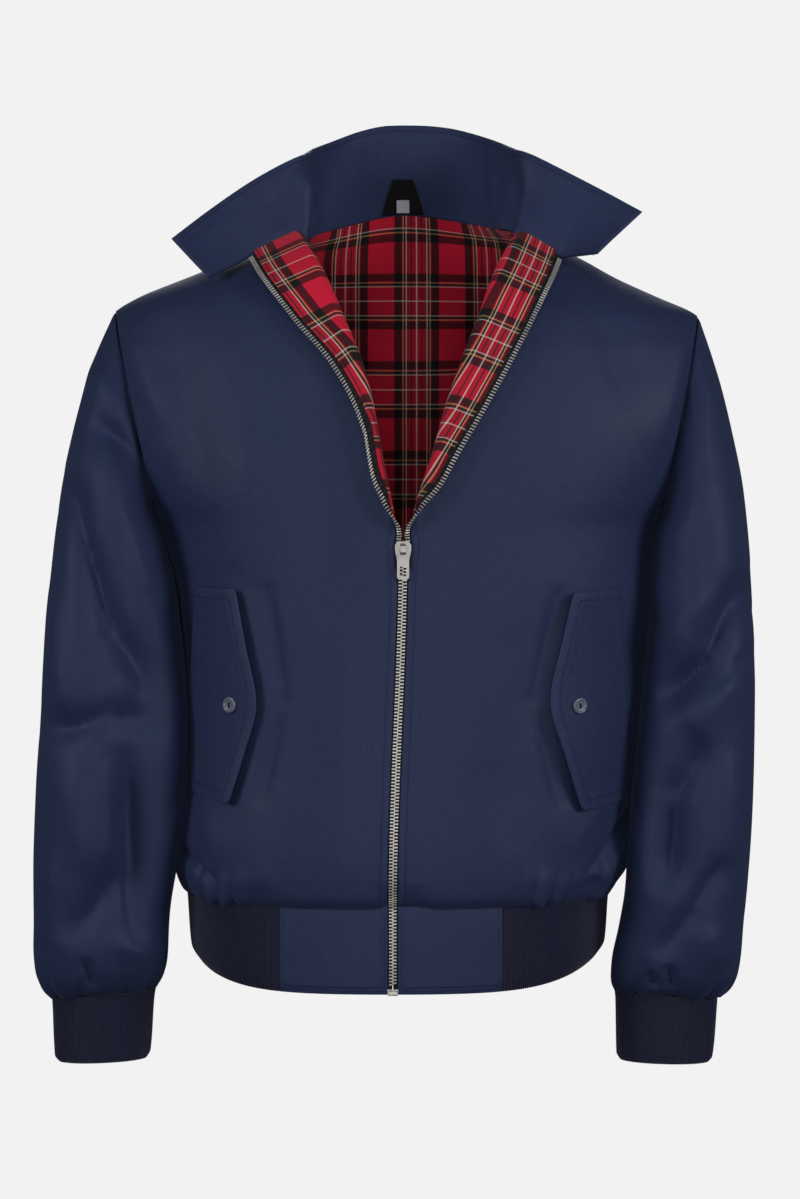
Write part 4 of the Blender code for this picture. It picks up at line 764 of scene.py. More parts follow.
def rounded(outer, inner, edge, radius):
    """Draws the two faces together near an edge, as folded cloth does."""
    part = 1 - np.sqrt(1 - np.clip(1 - edge / radius, 0, 1) ** 2)
    toward = (inner - outer) / 2 * (0.85 * part)[..., None]
    return outer + toward, inner - toward


# ---------------------------------------------------------------- lines on the cloth
def on_grid(grid, row, column):
    """Points of a grid at broken row and column numbers."""
    row = np.clip(row, 0, grid.shape[0] - 1.001)
    column = np.clip(column, 0, grid.shape[1] - 1.001)
    r, c = row.astype(int), column.astype(int)
    a, b = (row - r)[:, None], (column - c)[:, None]
    low = lerp(grid[r, c], grid[r, c + 1], b)
    return lerp(low, lerp(grid[r + 1, c], grid[r + 1, c + 1], b), a)


def inset(grid, distance):
    """Row and column numbers of the four lines a distance inside a grid's borders."""
    run = running_length(grid)
    height = running_length(np.swapaxes(grid, 0, 1))
    rows, columns = np.arange(grid.shape[0]), np.arange(grid.shape[1])
    left = np.array([np.interp(distance, r, columns) for r in run])
    right = np.array([np.interp(r[-1] - distance, r, columns) for r in run])
    low = np.array([np.interp(distance, h, rows) for h in height])
    high = np.array([np.interp(h[-1] - distance, h, rows) for h in height])
    return rows, columns, left, right, low, high


def frame_line(grid, distance, turns):
    """A line inside the borders named in turns, in order, such as "left high right"."""
    rows, columns, left, right, low, high = inset(grid, distance)
    sides = {"left": left, "right": right, "low": low, "high": high}

    def corner(upright, level):
        r = np.interp(sides[upright][0], columns, sides[level])
        for _ in range(3):
            c = np.interp(r, rows, sides[upright])
            r = np.interp(c, columns, sides[level])
        return r, c

    names = turns.split()
    points = []
    for k, name in enumerate(names):
        upright = name in ("left", "right")
        ends = []
        for other in (names[k - 1] if k else None, names[k + 1] if k + 1 < len(names) else None):
            if other is None:
                mate = names[k + 1] if k == 0 and len(names) > 1 else names[k - 1]
                far = {"low": len(rows) - 1, "high": 0, "left": len(columns) - 1, "right": 0}
                ends.append(float(far[mate]))
            elif upright:
                ends.append(corner(name, other)[0])
            else:
                ends.append(corner(other, name)[1])
        spread = np.linspace(ends[0], ends[1], LINE_POINTS)
        if upright:
            line = on_grid(grid, spread, np.interp(spread, rows, sides[name]))
        else:
            line = on_grid(grid, np.interp(spread, columns, sides[name]), spread)
        points.append(line if not points else line[1:])
    return np.concatenate(points)


# ---------------------------------------------------------------- meshes
def make_piece(name, vertices, faces, body, slot, map_of=None, sharp=40):
    """A named mesh object that rides on a body and takes its finish from a slot."""
    mesh = bpy.data.meshes.new(name)
    mesh.from_pydata(vertices, [], faces)
    if map_of is not None:
        layer = mesh.uv_layers.new(name="cloth")
        layer.data.foreach_set("uv", np.asarray(map_of, np.float32).ravel())
    mesh.shade_smooth()
    mesh.set_sharp_from_angle(angle=math.radians(sharp))
    piece = bpy.data.objects.new(name, mesh)
    bpy.context.scene.collection.objects.link(piece)
    mesh.materials.append(finish_of(slot))
    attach(piece, body)
    return piece


def wall(name, outer, inner, cloth, slot, closed=False, flip=False, marks=None, replaces=()):
    """A closed wall between two grids, with its cloth map, which a tube ends one column later."""
    if flip:
        outer, inner, cloth = outer[:, ::-1], inner[:, ::-1], cloth[:, ::-1]
        marks = {key: value[:, ::-1] for key, value in (marks or {}).items()}
    rows, columns = outer.shape[:2]
    count = rows * columns
    index = np.arange(count).reshape(rows, columns)
    if closed:
        index = np.concatenate((index, index[:, :1]), axis=1)
    spots = np.arange(index.size).reshape(index.shape)
    a, b, c, d = index[:-1, :-1], index[:-1, 1:], index[1:, 1:], index[1:, :-1]
    ma, mb, mc, md = spots[:-1, :-1], spots[:-1, 1:], spots[1:, 1:], spots[1:, :-1]
    quads = [(a, b, c, d), (d + count, c + count, b + count, a + count)]
    maps = [(ma, mb, mc, md), (md, mc, mb, ma)]

    def rim(first, second, first_map, second_map):
        quads.append((second, first, first + count, second + count))
        maps.append((second_map, first_map, first_map, second_map))

    rim(index[0, :-1], index[0, 1:], spots[0, :-1], spots[0, 1:])
    rim(index[-1, 1:], index[-1, :-1], spots[-1, 1:], spots[-1, :-1])
    if not closed:
        rim(index[1:, 0], index[:-1, 0], spots[1:, 0], spots[:-1, 0])
        rim(index[:-1, -1], index[1:, -1], spots[:-1, -1], spots[1:, -1])
    faces = np.concatenate([np.stack(q, -1).reshape(-1, 4) for q in quads])
    corners = np.concatenate([np.stack(m, -1).reshape(-1, 4) for m in maps])
    vertices = np.concatenate((outer.reshape(-1, 3), inner.reshape(-1, 3)))
    flat_map = cloth.reshape(-1, 2)[corners.ravel()]
    piece = make_piece(name, vertices.tolist(), faces.tolist(), "jacket", slot, flat_map)
    for key, value in (marks or {}).items():
        layer = piece.data.attributes.new(key, "FLOAT", "POINT")
        layer.data.foreach_set("value", np.tile(value.ravel(), 2).astype(np.float32))
    if replaces:
        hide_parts(*replaces)
    return piece


# ---------------------------------------------------------------- shaders
def in_order(operation):
    return lambda self, other: self.math(operation, other)


def reflected(operation):
    """The reflected form: the other value comes first."""
    return lambda self, other: self.shader.node(
        "ShaderNodeMath", {"operation": operation}, {0: other, 1: self})


class Value:
    """A shader socket that adds Math nodes when it is used in a sum."""

    def __init__(self, shader, socket):
        self.shader, self.socket = shader, socket

    def math(self, operation, *others):
        sockets = dict(enumerate((self,) + others))
        return self.shader.node("ShaderNodeMath", {"operation": operation}, sockets)

    __add__ = __radd__ = in_order("ADD")
    __mul__ = __rmul__ = in_order("MULTIPLY")
    __sub__, __rsub__ = in_order("SUBTRACT"), reflected("SUBTRACT")
    __truediv__ = in_order("DIVIDE")
    __lt__, __gt__ = in_order("LESS_THAN"), in_order("GREATER_THAN")


class Shader:
    """A material built node by node."""

    def __init__(self, name, **fixed):
        self.material = bpy.data.materials.new(name)
        self.material.use_nodes = True
        self.tree = self.material.node_tree
        self.surface = self.tree.nodes["Principled BSDF"]
        for key, value in fixed.items():
            self.surface.inputs[key.replace("_", " ")].default_value = value

    def put(self, socket, value):
        if isinstance(value, Value):
            self.tree.links.new(value.socket, socket)
        else:
            socket.default_value = value

    def node(self, kind, settings=None, sockets=None, output=0):
        made = self.tree.nodes.new(kind)
        for key, value in (settings or {}).items():
            if key == "stops":
                ramp = made.color_ramp
                while len(ramp.elements) < len(value):
                    ramp.elements.new(0.5)
                for element, (place, colour) in zip(ramp.elements, value):
                    element.position, element.color = place, (*colour, 1.0)
                ramp.interpolation = "CONSTANT"
            else:
                setattr(made, key, value)
        for key, value in (sockets or {}).items():
            self.put(made.inputs[key], value)
        return Value(self, made.outputs[output])

    def cloth_map(self):
        """The cloth map's two lengths in metres."""
        point = self.node("ShaderNodeUVMap", {"uv_map": "cloth"})
        parts = self.node("ShaderNodeSeparateXYZ", None, {0: point})
        return parts, Value(self, parts.socket.node.outputs[1]), point

    def noise(self, scale, detail=3.0, roughness=0.5, vector=None):
        vector = vector or self.node("ShaderNodeTexCoord", output=3)
        return self.node("ShaderNodeTexNoise", None, {
            "Vector": vector, "Scale": scale, "Detail": detail, "Roughness": roughness})

    def slub(self, across, up, fine, long):
        """Uneven yarns: noise that is drawn out along one direction of the cloth."""
        spot = self.node("ShaderNodeCombineXYZ", None, {0: across * fine, 1: up * long})
        return self.noise(1.0, 1.0, 0.5, spot)

    def mark(self, name):
        return self.node("ShaderNodeAttribute", {"attribute_name": name}, output=2)

    def mix(self, share, first, second, kind="MIX"):
        settings = {"data_type": "RGBA", "blend_type": kind}
        return self.node("ShaderNodeMix", settings, {0: share, 6: first, 7: second}, 2)

    def bump(self, height, distance, strength=1.0, before=None):
        sockets = {"Height": height, "Distance": distance, "Strength": strength}
        if before is not None:
            sockets["Normal"] = before
        return self.node("ShaderNodeBump", None, sockets)

    def finish(self, colour=None, roughness=None, normal=None):
        for key, value in (("Base Color", colour), ("Roughness", roughness), ("Normal", normal)):
            if value is not None:
                self.put(self.surface.inputs[key], value)
        return self.material


def rgba(colour, factor=1.0):
    return (*(min(1.0, c * factor) for c in colour), 1.0)


def twill(shader, across, up, pitch):
    """Fine slanting ribs of a twill weave, 0 to 1."""
    slant = (across * 0.5 + up) / pitch
    return slant.math("SINE") * 0.5 + 0.5


def shell_cloth():
    look = bpy.context.scene.jacket_cloth
    colour = tuple(look.shell_colour)
    shader = Shader("shell_twill", Sheen_Weight=look.sheen, Sheen_Roughness=0.45,
                    Sheen_Tint=rgba((0.45, 0.55, 0.9)), Specular_IOR_Level=0.25)
    across, up, _ = shader.cloth_map()
    weave = twill(shader, across, up, look.weave_pitch / (2 * math.pi))
    clouds = shader.noise(9.0, 4.0, 0.6)
    grain = shader.noise(900.0, 2.0, 0.7)
    base = shader.mix(clouds, rgba(colour, 0.88), rgba(colour, 1.16))
    slub = shader.slub(across, up, 2200.0, 75.0) + shader.slub(across, up, 75.0, 2200.0)
    base = shader.mix((slub - 0.86) * 1.5, base, rgba(colour, 1.9))
    base = shader.mix(weave * 0.35 + grain * 0.25, base, rgba(colour, 1.45))
    edge = shader.mark("edge")
    wear = (1 - edge / (3.5 * MM)).math("MAXIMUM", 0.0) * 0.3
    base = shader.mix(wear, base, rgba(colour, 1.9))
    height = weave * 0.12 + grain * 0.10
    pucker = shader.noise(140.0, 2.0, 0.5)
    sewn = (edge - TOPSTITCH).math("ABSOLUTE")
    near = (1 - sewn / (5 * MM)).math("MAXIMUM", 0.0)
    groove_and_painted_shade = (1 - sewn / (1.1 * MM)).math("MAXIMUM", 0.0)
    # painted shade: the base colour is darkened along the topstitch groove, where the cloth dips;
    # the same mask also deepens the groove in the bump
    base = shader.mix(groove_and_painted_shade * 0.22, base, rgba(colour, 0.35))
    soft = shader.noise(26.0, 3.0, 0.5)
    normal = shader.bump(soft, 2.2 * MM, 0.5)
    normal = shader.bump(pucker * near - groove_and_painted_shade * 0.5, 0.9 * MM, 1.0, normal)
    normal = shader.bump(height, 0.25 * MM, 0.5, normal)
    return shader.finish(base, 0.50 + clouds * 0.12, normal)


def rib_knit():
    look = bpy.context.scene.jacket_cloth
    colour = tuple(look.rib_colour)
    shader = Shader("rib_knit", Sheen_Weight=0.25, Sheen_Roughness=0.5, Specular_IOR_Level=0.2)
    _, up, _ = shader.cloth_map()
    stitch = (up * (2 * math.pi / look.knit_pitch)).math("SINE") * 0.5 + 0.5
    fuzz = shader.noise(1200.0, 3.0, 0.7)
    base = shader.mix(stitch * 0.5 + fuzz * 0.4, rgba(colour, 0.7), rgba(colour, 1.5))
    normal = shader.bump(stitch + fuzz * 0.6, 0.3 * MM, 0.6)
    return shader.finish(base, 0.82, normal)


TARTAN_INK = {
    "red": (0.95, 0.013, 0.060), "dark": (0.006, 0.006, 0.010), "green": (0.018, 0.085, 0.050),
    "white": (0.90, 0.86, 0.82), "yellow": (0.82, 0.64, 0.24), "deep": (0.58, 0.009, 0.035),
}
# how much darker a dark band is than its half of the threads alone
BAND_DEPTH = 0.72
# stripes of the sett from the middle of a group of lines outwards, each its ink and width
WARP = (
    ("white", 0.55), ("deep", 3.4), ("green", 1.2), ("deep", 3.4), ("white", 1.0),
    ("green", 1.7), ("yellow", 0.8), ("deep", 0.9), ("dark", 6.6), ("red", 11.7),
)
WEFT = (
    ("white", 0.6), ("deep", 12.0), ("white", 1.1), ("green", 2.6), ("yellow", 0.9),
    ("deep", 1.0), ("dark", 6.8), ("red", 14.5),
)


def stripes(shader, length, sett, inks=None):
    """The stripes at a length along one direction: their colours, or a mask of some inks."""
    total = sum(width for _, width in sett)
    stops, place = [], 0.0
    for ink, width in sett:
        stops.append((place / total, (float(ink in inks),) * 3 if inks else TARTAN_INK[ink]))
        place += width
    share = (length / (total * MM)).math("PINGPONG", 1.0)
    return shader.node("ShaderNodeValToRGB", {"stops": stops}, {0: share})


def tartan_cloth():
    shader = Shader("tartan_cotton", Specular_IOR_Level=0.25, Sheen_Weight=0.1)
    across, up, _ = shader.cloth_map()
    warp, weft = stripes(shader, across, WARP), stripes(shader, up, WEFT)
    slant = ((across + up) / (0.9 * MM)).math("FRACT")
    over = (slant > 0.5) * 0.4 + 0.22
    base = shader.mix(over, warp, weft)
    dark, line = ("dark", "green"), ("white", "yellow")
    shade = (stripes(shader, across, WARP, dark) * (1 - stripes(shader, up, WEFT, line))
             + stripes(shader, up, WEFT, dark) * (1 - stripes(shader, across, WARP, line)))
    base = shader.mix(shade.math("MINIMUM", 1.0) * BAND_DEPTH, base, rgba(TARTAN_INK["dark"]))
    fuzz = shader.noise(700.0, 2.0, 0.6)
    base = shader.mix(fuzz * 0.12, base, (0.02, 0.004, 0.008, 1.0))
    soft = shader.noise(34.0, 3.0, 0.55)
    normal = shader.bump(soft, 2.4 * MM, 0.6)
    normal = shader.bump(slant + fuzz, 0.2 * MM, 0.35, normal)
    return shader.finish(base, 0.72, normal)


def woven_tape():
    colour = slot_colour("tape")
    shader = Shader("woven_tape", Specular_IOR_Level=0.25)
    across, up, _ = shader.cloth_map()
    chevron = ((across / MM).math("PINGPONG", 1.0) + up / MM).math("SINE") * 0.5 + 0.5
    base = shader.mix(chevron, rgba(colour, 0.8), rgba(colour, 2.2))
    return shader.finish(base, 0.8, shader.bump(chevron, 0.15 * MM, 0.5))


def zip_metal(name, low, high):
    shader = Shader(name, Metallic=0.7)
    worn = shader.noise(260.0, 4.0, 0.6)
    base = shader.mix(worn, rgba(slot_colour("metal"), low), rgba(slot_colour("metal"), high))
    fine = shader.noise(2600.0, 2.0, 0.5)
    return shader.finish(base, worn * 0.2 + 0.30, shader.bump(fine, 0.03 * MM, 0.4))


def button_gloss():
    shader = Shader("button_gloss", Coat_Weight=0.5, Coat_Roughness=0.12)
    swirl = shader.noise(190.0, 3.0, 0.6)
    base = shader.mix(swirl, rgba(slot_colour("button"), 1.1), rgba(slot_colour("button"), 2.6))
    return shader.finish(base, swirl * 0.15 + 0.22, shader.bump(swirl, 0.05 * MM, 0.3))


def label_weave(name, slot, lift):
    shader = Shader(name, Specular_IOR_Level=0.12)
    across, up, _ = shader.cloth_map()
    satin = (across / (0.12 * MM)).math("SINE") * 0.5 + 0.5
    base = shader.mix(satin, rgba(slot_colour(slot)), rgba(slot_colour(slot), lift))
    cross = (up / (0.16 * MM)).math("SINE")
    return shader.finish(base, 0.7, shader.bump(satin + cross, 0.08 * MM, 0.4))


def sewing_thread(name, low, high):
    colour = tuple(bpy.context.scene.jacket_cloth.shell_colour)
    shader = Shader(name, Specular_IOR_Level=0.3)
    twist = shader.noise(1500.0, 1.0, 0.5)
    base = shader.mix(twist, rgba(colour, low), rgba(colour, high))
    return shader.finish(base, 0.6, shader.bump(twist, 0.05 * MM, 0.5))


def slot_colour(slot):
    return next(tuple(m["base_color"]) for m in RECORD["materials"] if m["slot"] == slot)


FINISHES = {
    "shell": shell_cloth,
    "rib": rib_knit,
    "lining": tartan_cloth,
    "tape": woven_tape,
    "metal": partial(zip_metal, "zip_nickel", 1.1, 1.5),
    "cast": partial(zip_metal, "zip_cast", 0.62, 0.95),
    "button": button_gloss,
    "label": partial(label_weave, "label_satin", "label", 1.6),
    "size_tab": partial(label_weave, "tab_satin", "size_tab", 1.25),
    "thread": partial(sewing_thread, "sewing_thread", 0.8, 1.7),
    "dark_thread": partial(sewing_thread, "dark_thread", 0.15, 0.4),
}
# materials, trees and items that are made once
MADE = {}


def finish_of(slot):
    if slot not in MADE:
        MADE[slot] = FINISHES[slot]()
    return MADE[slot]


# ---------------------------------------------------------------- what repeats
def node_tree(name, inputs):
    """A new geometry tree with its group input, group output and named inputs."""
    tree = bpy.data.node_groups.new(name, "GeometryNodeTree")
    tree.interface.new_socket("Geometry", in_out="INPUT", socket_type="NodeSocketGeometry")
    for label, kind, value in inputs:
        socket = tree.interface.new_socket(label, in_out="INPUT", socket_type="NodeSocket" + kind)
        if value is not None:
            socket.default_value = value
    tree.interface.new_socket("Geometry", in_out="OUTPUT", socket_type="NodeSocketGeometry")
    start, end = tree.nodes.new("NodeGroupInput"), tree.nodes.new("NodeGroupOutput")

    def add(kind, links=None, output=0, **settings):
        made = tree.nodes.new(kind)
        for key, value in settings.items():
            setattr(made, key, value)
        for key, value in (links or {}).items():
            if isinstance(value, bpy.types.NodeSocket):
                tree.links.new(value, made.inputs[key])
            else:
                made.inputs[key].default_value = value
        return made.outputs[output]

    def close(geometry):
        real = add("GeometryNodeRealizeInstances", {0: geometry})
        done = add("GeometryNodeSetMaterial", {0: real, "Material": start.outputs["Material"]})
        tree.links.new(done, end.inputs[0])
        return tree

    return start.outputs, add, close


def stitch_tree():
    """Stitches laid end to end, with gaps, along the edges of a wire."""
    given, add, close = node_tree("stitches", (
        ("Pitch", "Float", 3.2 * MM), ("Stitch length", "Float", 2.3 * MM),
        ("Thread", "Float", 0.3 * MM), ("Material", "Material", None)))
    line = add("GeometryNodeMeshToCurve", {0: given[0]})
    even = add("GeometryNodeResampleCurve", {"Curve": line, "Length": given["Pitch"]},
               mode="LENGTH")
    tangent = add("GeometryNodeInputTangent")
    turn = add("FunctionNodeAlignRotationToVector", {"Vector": tangent}, axis="Z")
    rod = add("GeometryNodeMeshCylinder", {
        "Vertices": 6, "Radius": given["Thread"], "Depth": given["Stitch length"]})
    laid = add("GeometryNodeInstanceOnPoints", {"Points": even, "Instance": rod, "Rotation": turn})
    return close(laid)


def cord_tree():
    """Round ribs that follow the edges of a wire."""
    given, add, close = node_tree("ribs", (
        ("Rib radius", "Float", 0.8 * MM), ("Material", "Material", None)))
    line = add("GeometryNodeMeshToCurve", {0: given[0]})
    ring = add("GeometryNodeCurvePrimitiveCircle", {
        "Resolution": 6, "Radius": given["Rib radius"]})
    swept = add("GeometryNodeCurveToMesh", {
        "Curve": line, "Profile Curve": ring, "Fill Caps": True})
    return close(swept)


def tooth_tree():
    """Teeth set on points that carry the way across the chain and the way out of it."""
    given, add, close = node_tree("teeth", (
        ("Tooth", "Object", None), ("Size", "Float", 1.0), ("Material", "Material", None)))
    across = add("GeometryNodeInputNamedAttribute", {"Name": "across"}, data_type="FLOAT_VECTOR")
    out = add("GeometryNodeInputNamedAttribute", {"Name": "out"}, data_type="FLOAT_VECTOR")
    first = add("FunctionNodeAlignRotationToVector", {"Vector": across}, axis="X")
    turn = add("FunctionNodeAlignRotationToVector", {"Rotation": first, "Vector": out},
               axis="Z", pivot_axis="X")
    tooth = add("GeometryNodeObjectInfo", {"Object": given["Tooth"]}, 4,
                transform_space="ORIGINAL")
    laid = add("GeometryNodeInstanceOnPoints", {
        "Points": given[0], "Instance": tooth, "Rotation": turn, "Scale": given["Size"]})
    return close(laid)


def grow(name, vertices, edges, tree, values, slot, marks=None, body="jacket"):
    """Runs a tree over a wire or points and keeps its result as a plain mesh."""
    seed = bpy.data.meshes.new(name + "_seed")
    seed.from_pydata(np.asarray(vertices).tolist(), edges, [])
    for key, value in (marks or {}).items():
        layer = seed.attributes.new(key, "FLOAT_VECTOR", "POINT")
        layer.data.foreach_set("vector", np.asarray(value, np.float32).ravel())
    carrier = bpy.data.objects.new(name + "_seed", seed)
    bpy.context.scene.collection.objects.link(carrier)
    modifier = carrier.modifiers.new("grow", "NODES")
    modifier.node_group = tree
    values = dict(values, Material=finish_of(slot))
    for item in tree.interface.items_tree:
        if item.in_out == "INPUT" and item.name in values:
            modifier[item.identifier] = values[item.name]
    graph = bpy.context.evaluated_depsgraph_get()
    mesh = bpy.data.meshes.new_from_object(carrier.evaluated_get(graph))
    mesh.name = name
    bpy.data.objects.remove(carrier)
    piece = bpy.data.objects.new(name, mesh)
    bpy.context.scene.collection.objects.link(piece)
    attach(piece, body)
    return piece


def chains(lines):
    """Vertices and edges of several polylines."""
    vertices, edges = [], []
    for line in lines:
        base = len(vertices)
        vertices.extend(np.asarray(line).tolist())
        edges.extend((base + k, base + k + 1) for k in range(len(line) - 1))
    return vertices, edges


def sew(name, lines, pitch=3.0 * MM, length=2.1 * MM, thick=0.24 * MM):
    """A row of stitches along each line, which lies on the cloth's face."""
    vertices, edges = chains(lines)
    values = {"Pitch": pitch, "Stitch length": length, "Thread": thick}
    return grow(name, vertices, edges, MADE["stitch_tree"], values, "thread")


def cords(name, lines, radius, slot):
    """A round cord along each line."""
    vertices, edges = chains(lines)
    return grow(name, vertices, edges, MADE["cord_tree"], {"Rib radius": radius}, slot)


def declare(name, piece):
    """Reads the cut of a sheet of cloth from the table of cuts, and keeps nothing of it."""
    width, length, area, held, rests_on = CUTS[name]
    list(rests_on)


# ---------------------------------------------------------------- the pieces
# columns of the grids
FRONT_COLUMNS = 150
FRONT_MAP_COLUMN = 60
FRONT_LINING_COLUMNS = 80
BACK_COLUMNS = 210
BACK_LINING_COLUMNS = 97
SLEEVE_COLUMNS = 170
CUFF_COLUMNS = 120
TUBE_MAP_COLUMN = 30
HEM_COLUMNS = 320
TAB_COLUMNS = 34
GRIDS = {}


def shell_reach(v):
    """How far the shell stops from the middle of the chain, with room for the slider."""
    near = math.exp(-(((roll_z(v) - ZIP_TOP_Z + 5 * MM) / (13 * MM)) ** 4))
    return SHELL_REACH + (SLIDER_REACH - SHELL_REACH) * near


def build_front(side):
    """The shell and the lining of one front, and the stitching beside its zip."""
    name = side_name(side)
    rows = rows_by((0, 0.11, 28), (0.11, 1, 88), (1, 2, 76), (2, 3, 44))
    points, us, back_from = front_grid(side, rows, FRONT_COLUMNS, shell_reach)
    normals = grid_normals(points) * -side
    x = np.abs(points[..., 0] - centre_x(points[..., 2]))
    run = (math.pi / 2 - angle_of(side, x, points[..., 2])) * FRONT_GIRTH
    lift, drop = gathers(points, run, -1)
    from_seam = back_from[:, :1] - back_from
    fade = smooth(from_seam / CREASE_FADE)
    lift = (lift + crease_lift(points, FRONT_CREASES) * fade) * (us < 1.0) + seam_tuck(from_seam)
    shell = points + normals * lift[..., None]
    shell[..., 2] -= drop * (us < 1.0)
    shell[:, 0] += unit(shell[:, 0] - shell[:, 1]) * SEAM_LAP - normals[:, 0] * SEAM_LAP
    normals = grid_normals(shell) * -side
    cloth = cloth_lengths(back_from * side, up_column(points, FRONT_MAP_COLUMN))
    outer, inner = rounded(shell, shell - normals * SHELL, back_from, 1.5 * MM)
    front = wall("shell_front_" + name, outer, inner, cloth, "shell", flip=side > 0,
                 marks={"edge": back_from}, replaces=("front_" + name,))
    columns = np.arange(us.shape[1])
    at = np.array([np.interp(-TOPSTITCH, -row, columns) for row in back_from])
    line = on_grid(outer, np.arange(len(rows), dtype=float), at)
    flap = FLAPS[side]
    ts = np.linspace(0.0, 1.0, 60)
    seam_x, seam_z = (flap.at(ts, key) * MM for key in ("seam_x", "seam_z"))
    spot = angle_facing(side, seam_x + 3.5 * MM, seam_z)
    beside = bare(side, -1, spot, seam_z)
    beside += form_normal(side, -1, spot, seam_z) * crease_lift(beside, FRONT_CREASES)[:, None]
    sewn = sew("stitches_front_" + name, (line[2:-2], beside))
    declare("shell_front_" + name, front)
    rows = rows_by((0, 1, 70), (1, 2, 70), (2, 3, 36))
    points, us, back_from = front_grid(side, rows, FRONT_LINING_COLUMNS, lambda v: LINING_REACH)
    normals = grid_normals(points) * -side
    slack = LINING_EASE * np.sin(math.pi * np.clip(us, 0, 1)) * np.sin(math.pi * rows / 3)[:, None]
    slack += ROLL_EASE * smooth(us) * np.sin(math.pi * np.clip(rows - 1, 0, 0.6) / 0.6)[:, None]
    from_seam = back_from[:, :1] - back_from
    fade = smooth(from_seam / CREASE_FADE) * (us < 1.0)
    slack -= np.minimum(crease_lift(points, FRONT_CREASES), 0.0) * fade
    slack -= LINING_TUCK * seam_tuck(from_seam)
    cloth = cloth_lengths(back_from + LINING_REACH - SETT_CENTRE[side],
                          up_column(points, FRONT_LINING_COLUMNS // 2) - SETT_LEVEL)
    top = points - normals * (LINING_IN + slack)[..., None]
    under = points - normals * (STACK + slack)[..., None]
    lining = wall("lining_front_" + name + "_cloth", top, under, cloth, "lining", flip=side > 0,
                  replaces=("lining_front_" + name,))
    declare("lining_front_" + name + "_cloth", lining)
    GRIDS["front", side] = shell


def build_back():
    """The back's shell and its lining."""
    rows = rows_by((0, 0.11, 26), (0.11, 1, 76), (1, 2, 64), (2, 3, 30))
    points, us = back_grid(rows, BACK_COLUMNS)
    middle = BACK_COLUMNS // 2
    normals = -grid_normals(points)
    x, z = points[..., 0], points[..., 2]
    angle = angle_of(np.sign(x - centre_x(z)), np.abs(x - centre_x(z)), z)
    run = (math.pi / 2 - angle) * np.sign(x - centre_x(z)) * BACK_GIRTH + BACK_RUN_START
    lift, drop = gathers(points, run, 1)
    length = running_length(points)
    border = np.minimum(length, length[:, -1:] - length)
    lift += crease_lift(points, BACK_CREASES) + seam_tuck(border)
    shell = points + normals * lift[..., None]
    shell[..., 2] -= drop
    lap = ((rows > 1) & (rows < 2))[:, None]
    for edge, next_in in ((0, 1), (-1, -2)):
        past = unit(shell[:, edge] - shell[:, next_in]) * ARMHOLE_LAP
        shell[:, edge] += (past - normals[:, edge] * SEAM_LAP) * lap
    normals = -grid_normals(shell)
    cloth = cloth_lengths(length - length[:, middle, None], up_column(points, middle))
    back = wall("shell_back", shell, shell - normals * SHELL, cloth, "shell", flip=True,
                marks={"edge": np.full(us.shape, FAR_FROM_EDGE)}, replaces=("back",))
    declare("shell_back", back)
    rows = rows_by((0, 1, 60), (1, 2, 50), (2, 3, 26))
    points, us = back_grid(rows, BACK_LINING_COLUMNS)
    middle = BACK_LINING_COLUMNS // 2
    normals = -grid_normals(points)
    slack = LINING_EASE * (1 - us * us) * np.sin(math.pi * rows / 3)[:, None]
    slack -= np.minimum(crease_lift(points, BACK_CREASES), 0.0)
    across = running_length(points)
    slack -= LINING_TUCK * seam_tuck(np.minimum(across, across[:, -1:] - across))
    across = across - across[:, middle, None]
    cloth = cloth_lengths(across - SETT_CENTRE[0], up_column(points, middle) - SETT_LEVEL)
    lining = wall("lining_back_cloth", points - normals * (LINING_IN + slack)[..., None],
                  points - normals * (STACK + slack)[..., None], cloth, "lining", flip=True,
                  replaces=("lining_back",))
    declare("lining_back_cloth", lining)
    GRIDS["back"] = shell


def tube_points(table, side, v, turn, power):
    """Points of a tube; turn runs from its outer side over the front."""
    outer = stack(side * table.at(v, "ox"), 0.0, table.at(v, "oz")) * MM
    inner = stack(side * table.at(v, "ix"), 0.0, table.at(v, "iz")) * MM
    cosine, sine = np.cos(turn), np.sin(turn)
    across = np.sign(cosine) * np.abs(cosine) ** (2 / power)
    deep = np.sign(sine) * np.abs(sine) ** (2 / power)
    points = (outer + inner) / 2 + (outer - inner) / 2 * across[..., None]
    points[..., 1] = (table.at(v, "mid") - table.at(v, "half") * deep) * MM
    return points


def tube_wall(name, form, outer, inner, out, slot, node, marks=None):
    """A tube's wall with its cloth map taken on its form, turned over where the grid is."""
    across = running_length(np.concatenate((form, form[:, :1]), axis=1))
    cloth = cloth_lengths(across, -up_column(form, TUBE_MAP_COLUMN))
    if np.cross(form[1, 1] - form[1, 0], form[2, 0] - form[1, 0]) @ out[1, 0] < 0:
        outer, inner = (np.roll(g[:, ::-1], 1, axis=1) for g in (outer, inner))
        cloth = cloth[:, ::-1]
    tube = wall(name, outer, inner, cloth, slot, closed=True, marks=marks, replaces=(node,))
    return tube, across


def armhole_points(side, turn):
    top, foot = SHOULDER_TIP[side][1], UNDERARM[side][1]
    z = (top + foot) / 2 + (top - foot) / 2 * np.cos(turn)
    face = np.where(np.sin(turn) > 0, -1, 1)
    return bare(side, face, angle_of(side, armhole_x(side, z), z), z)


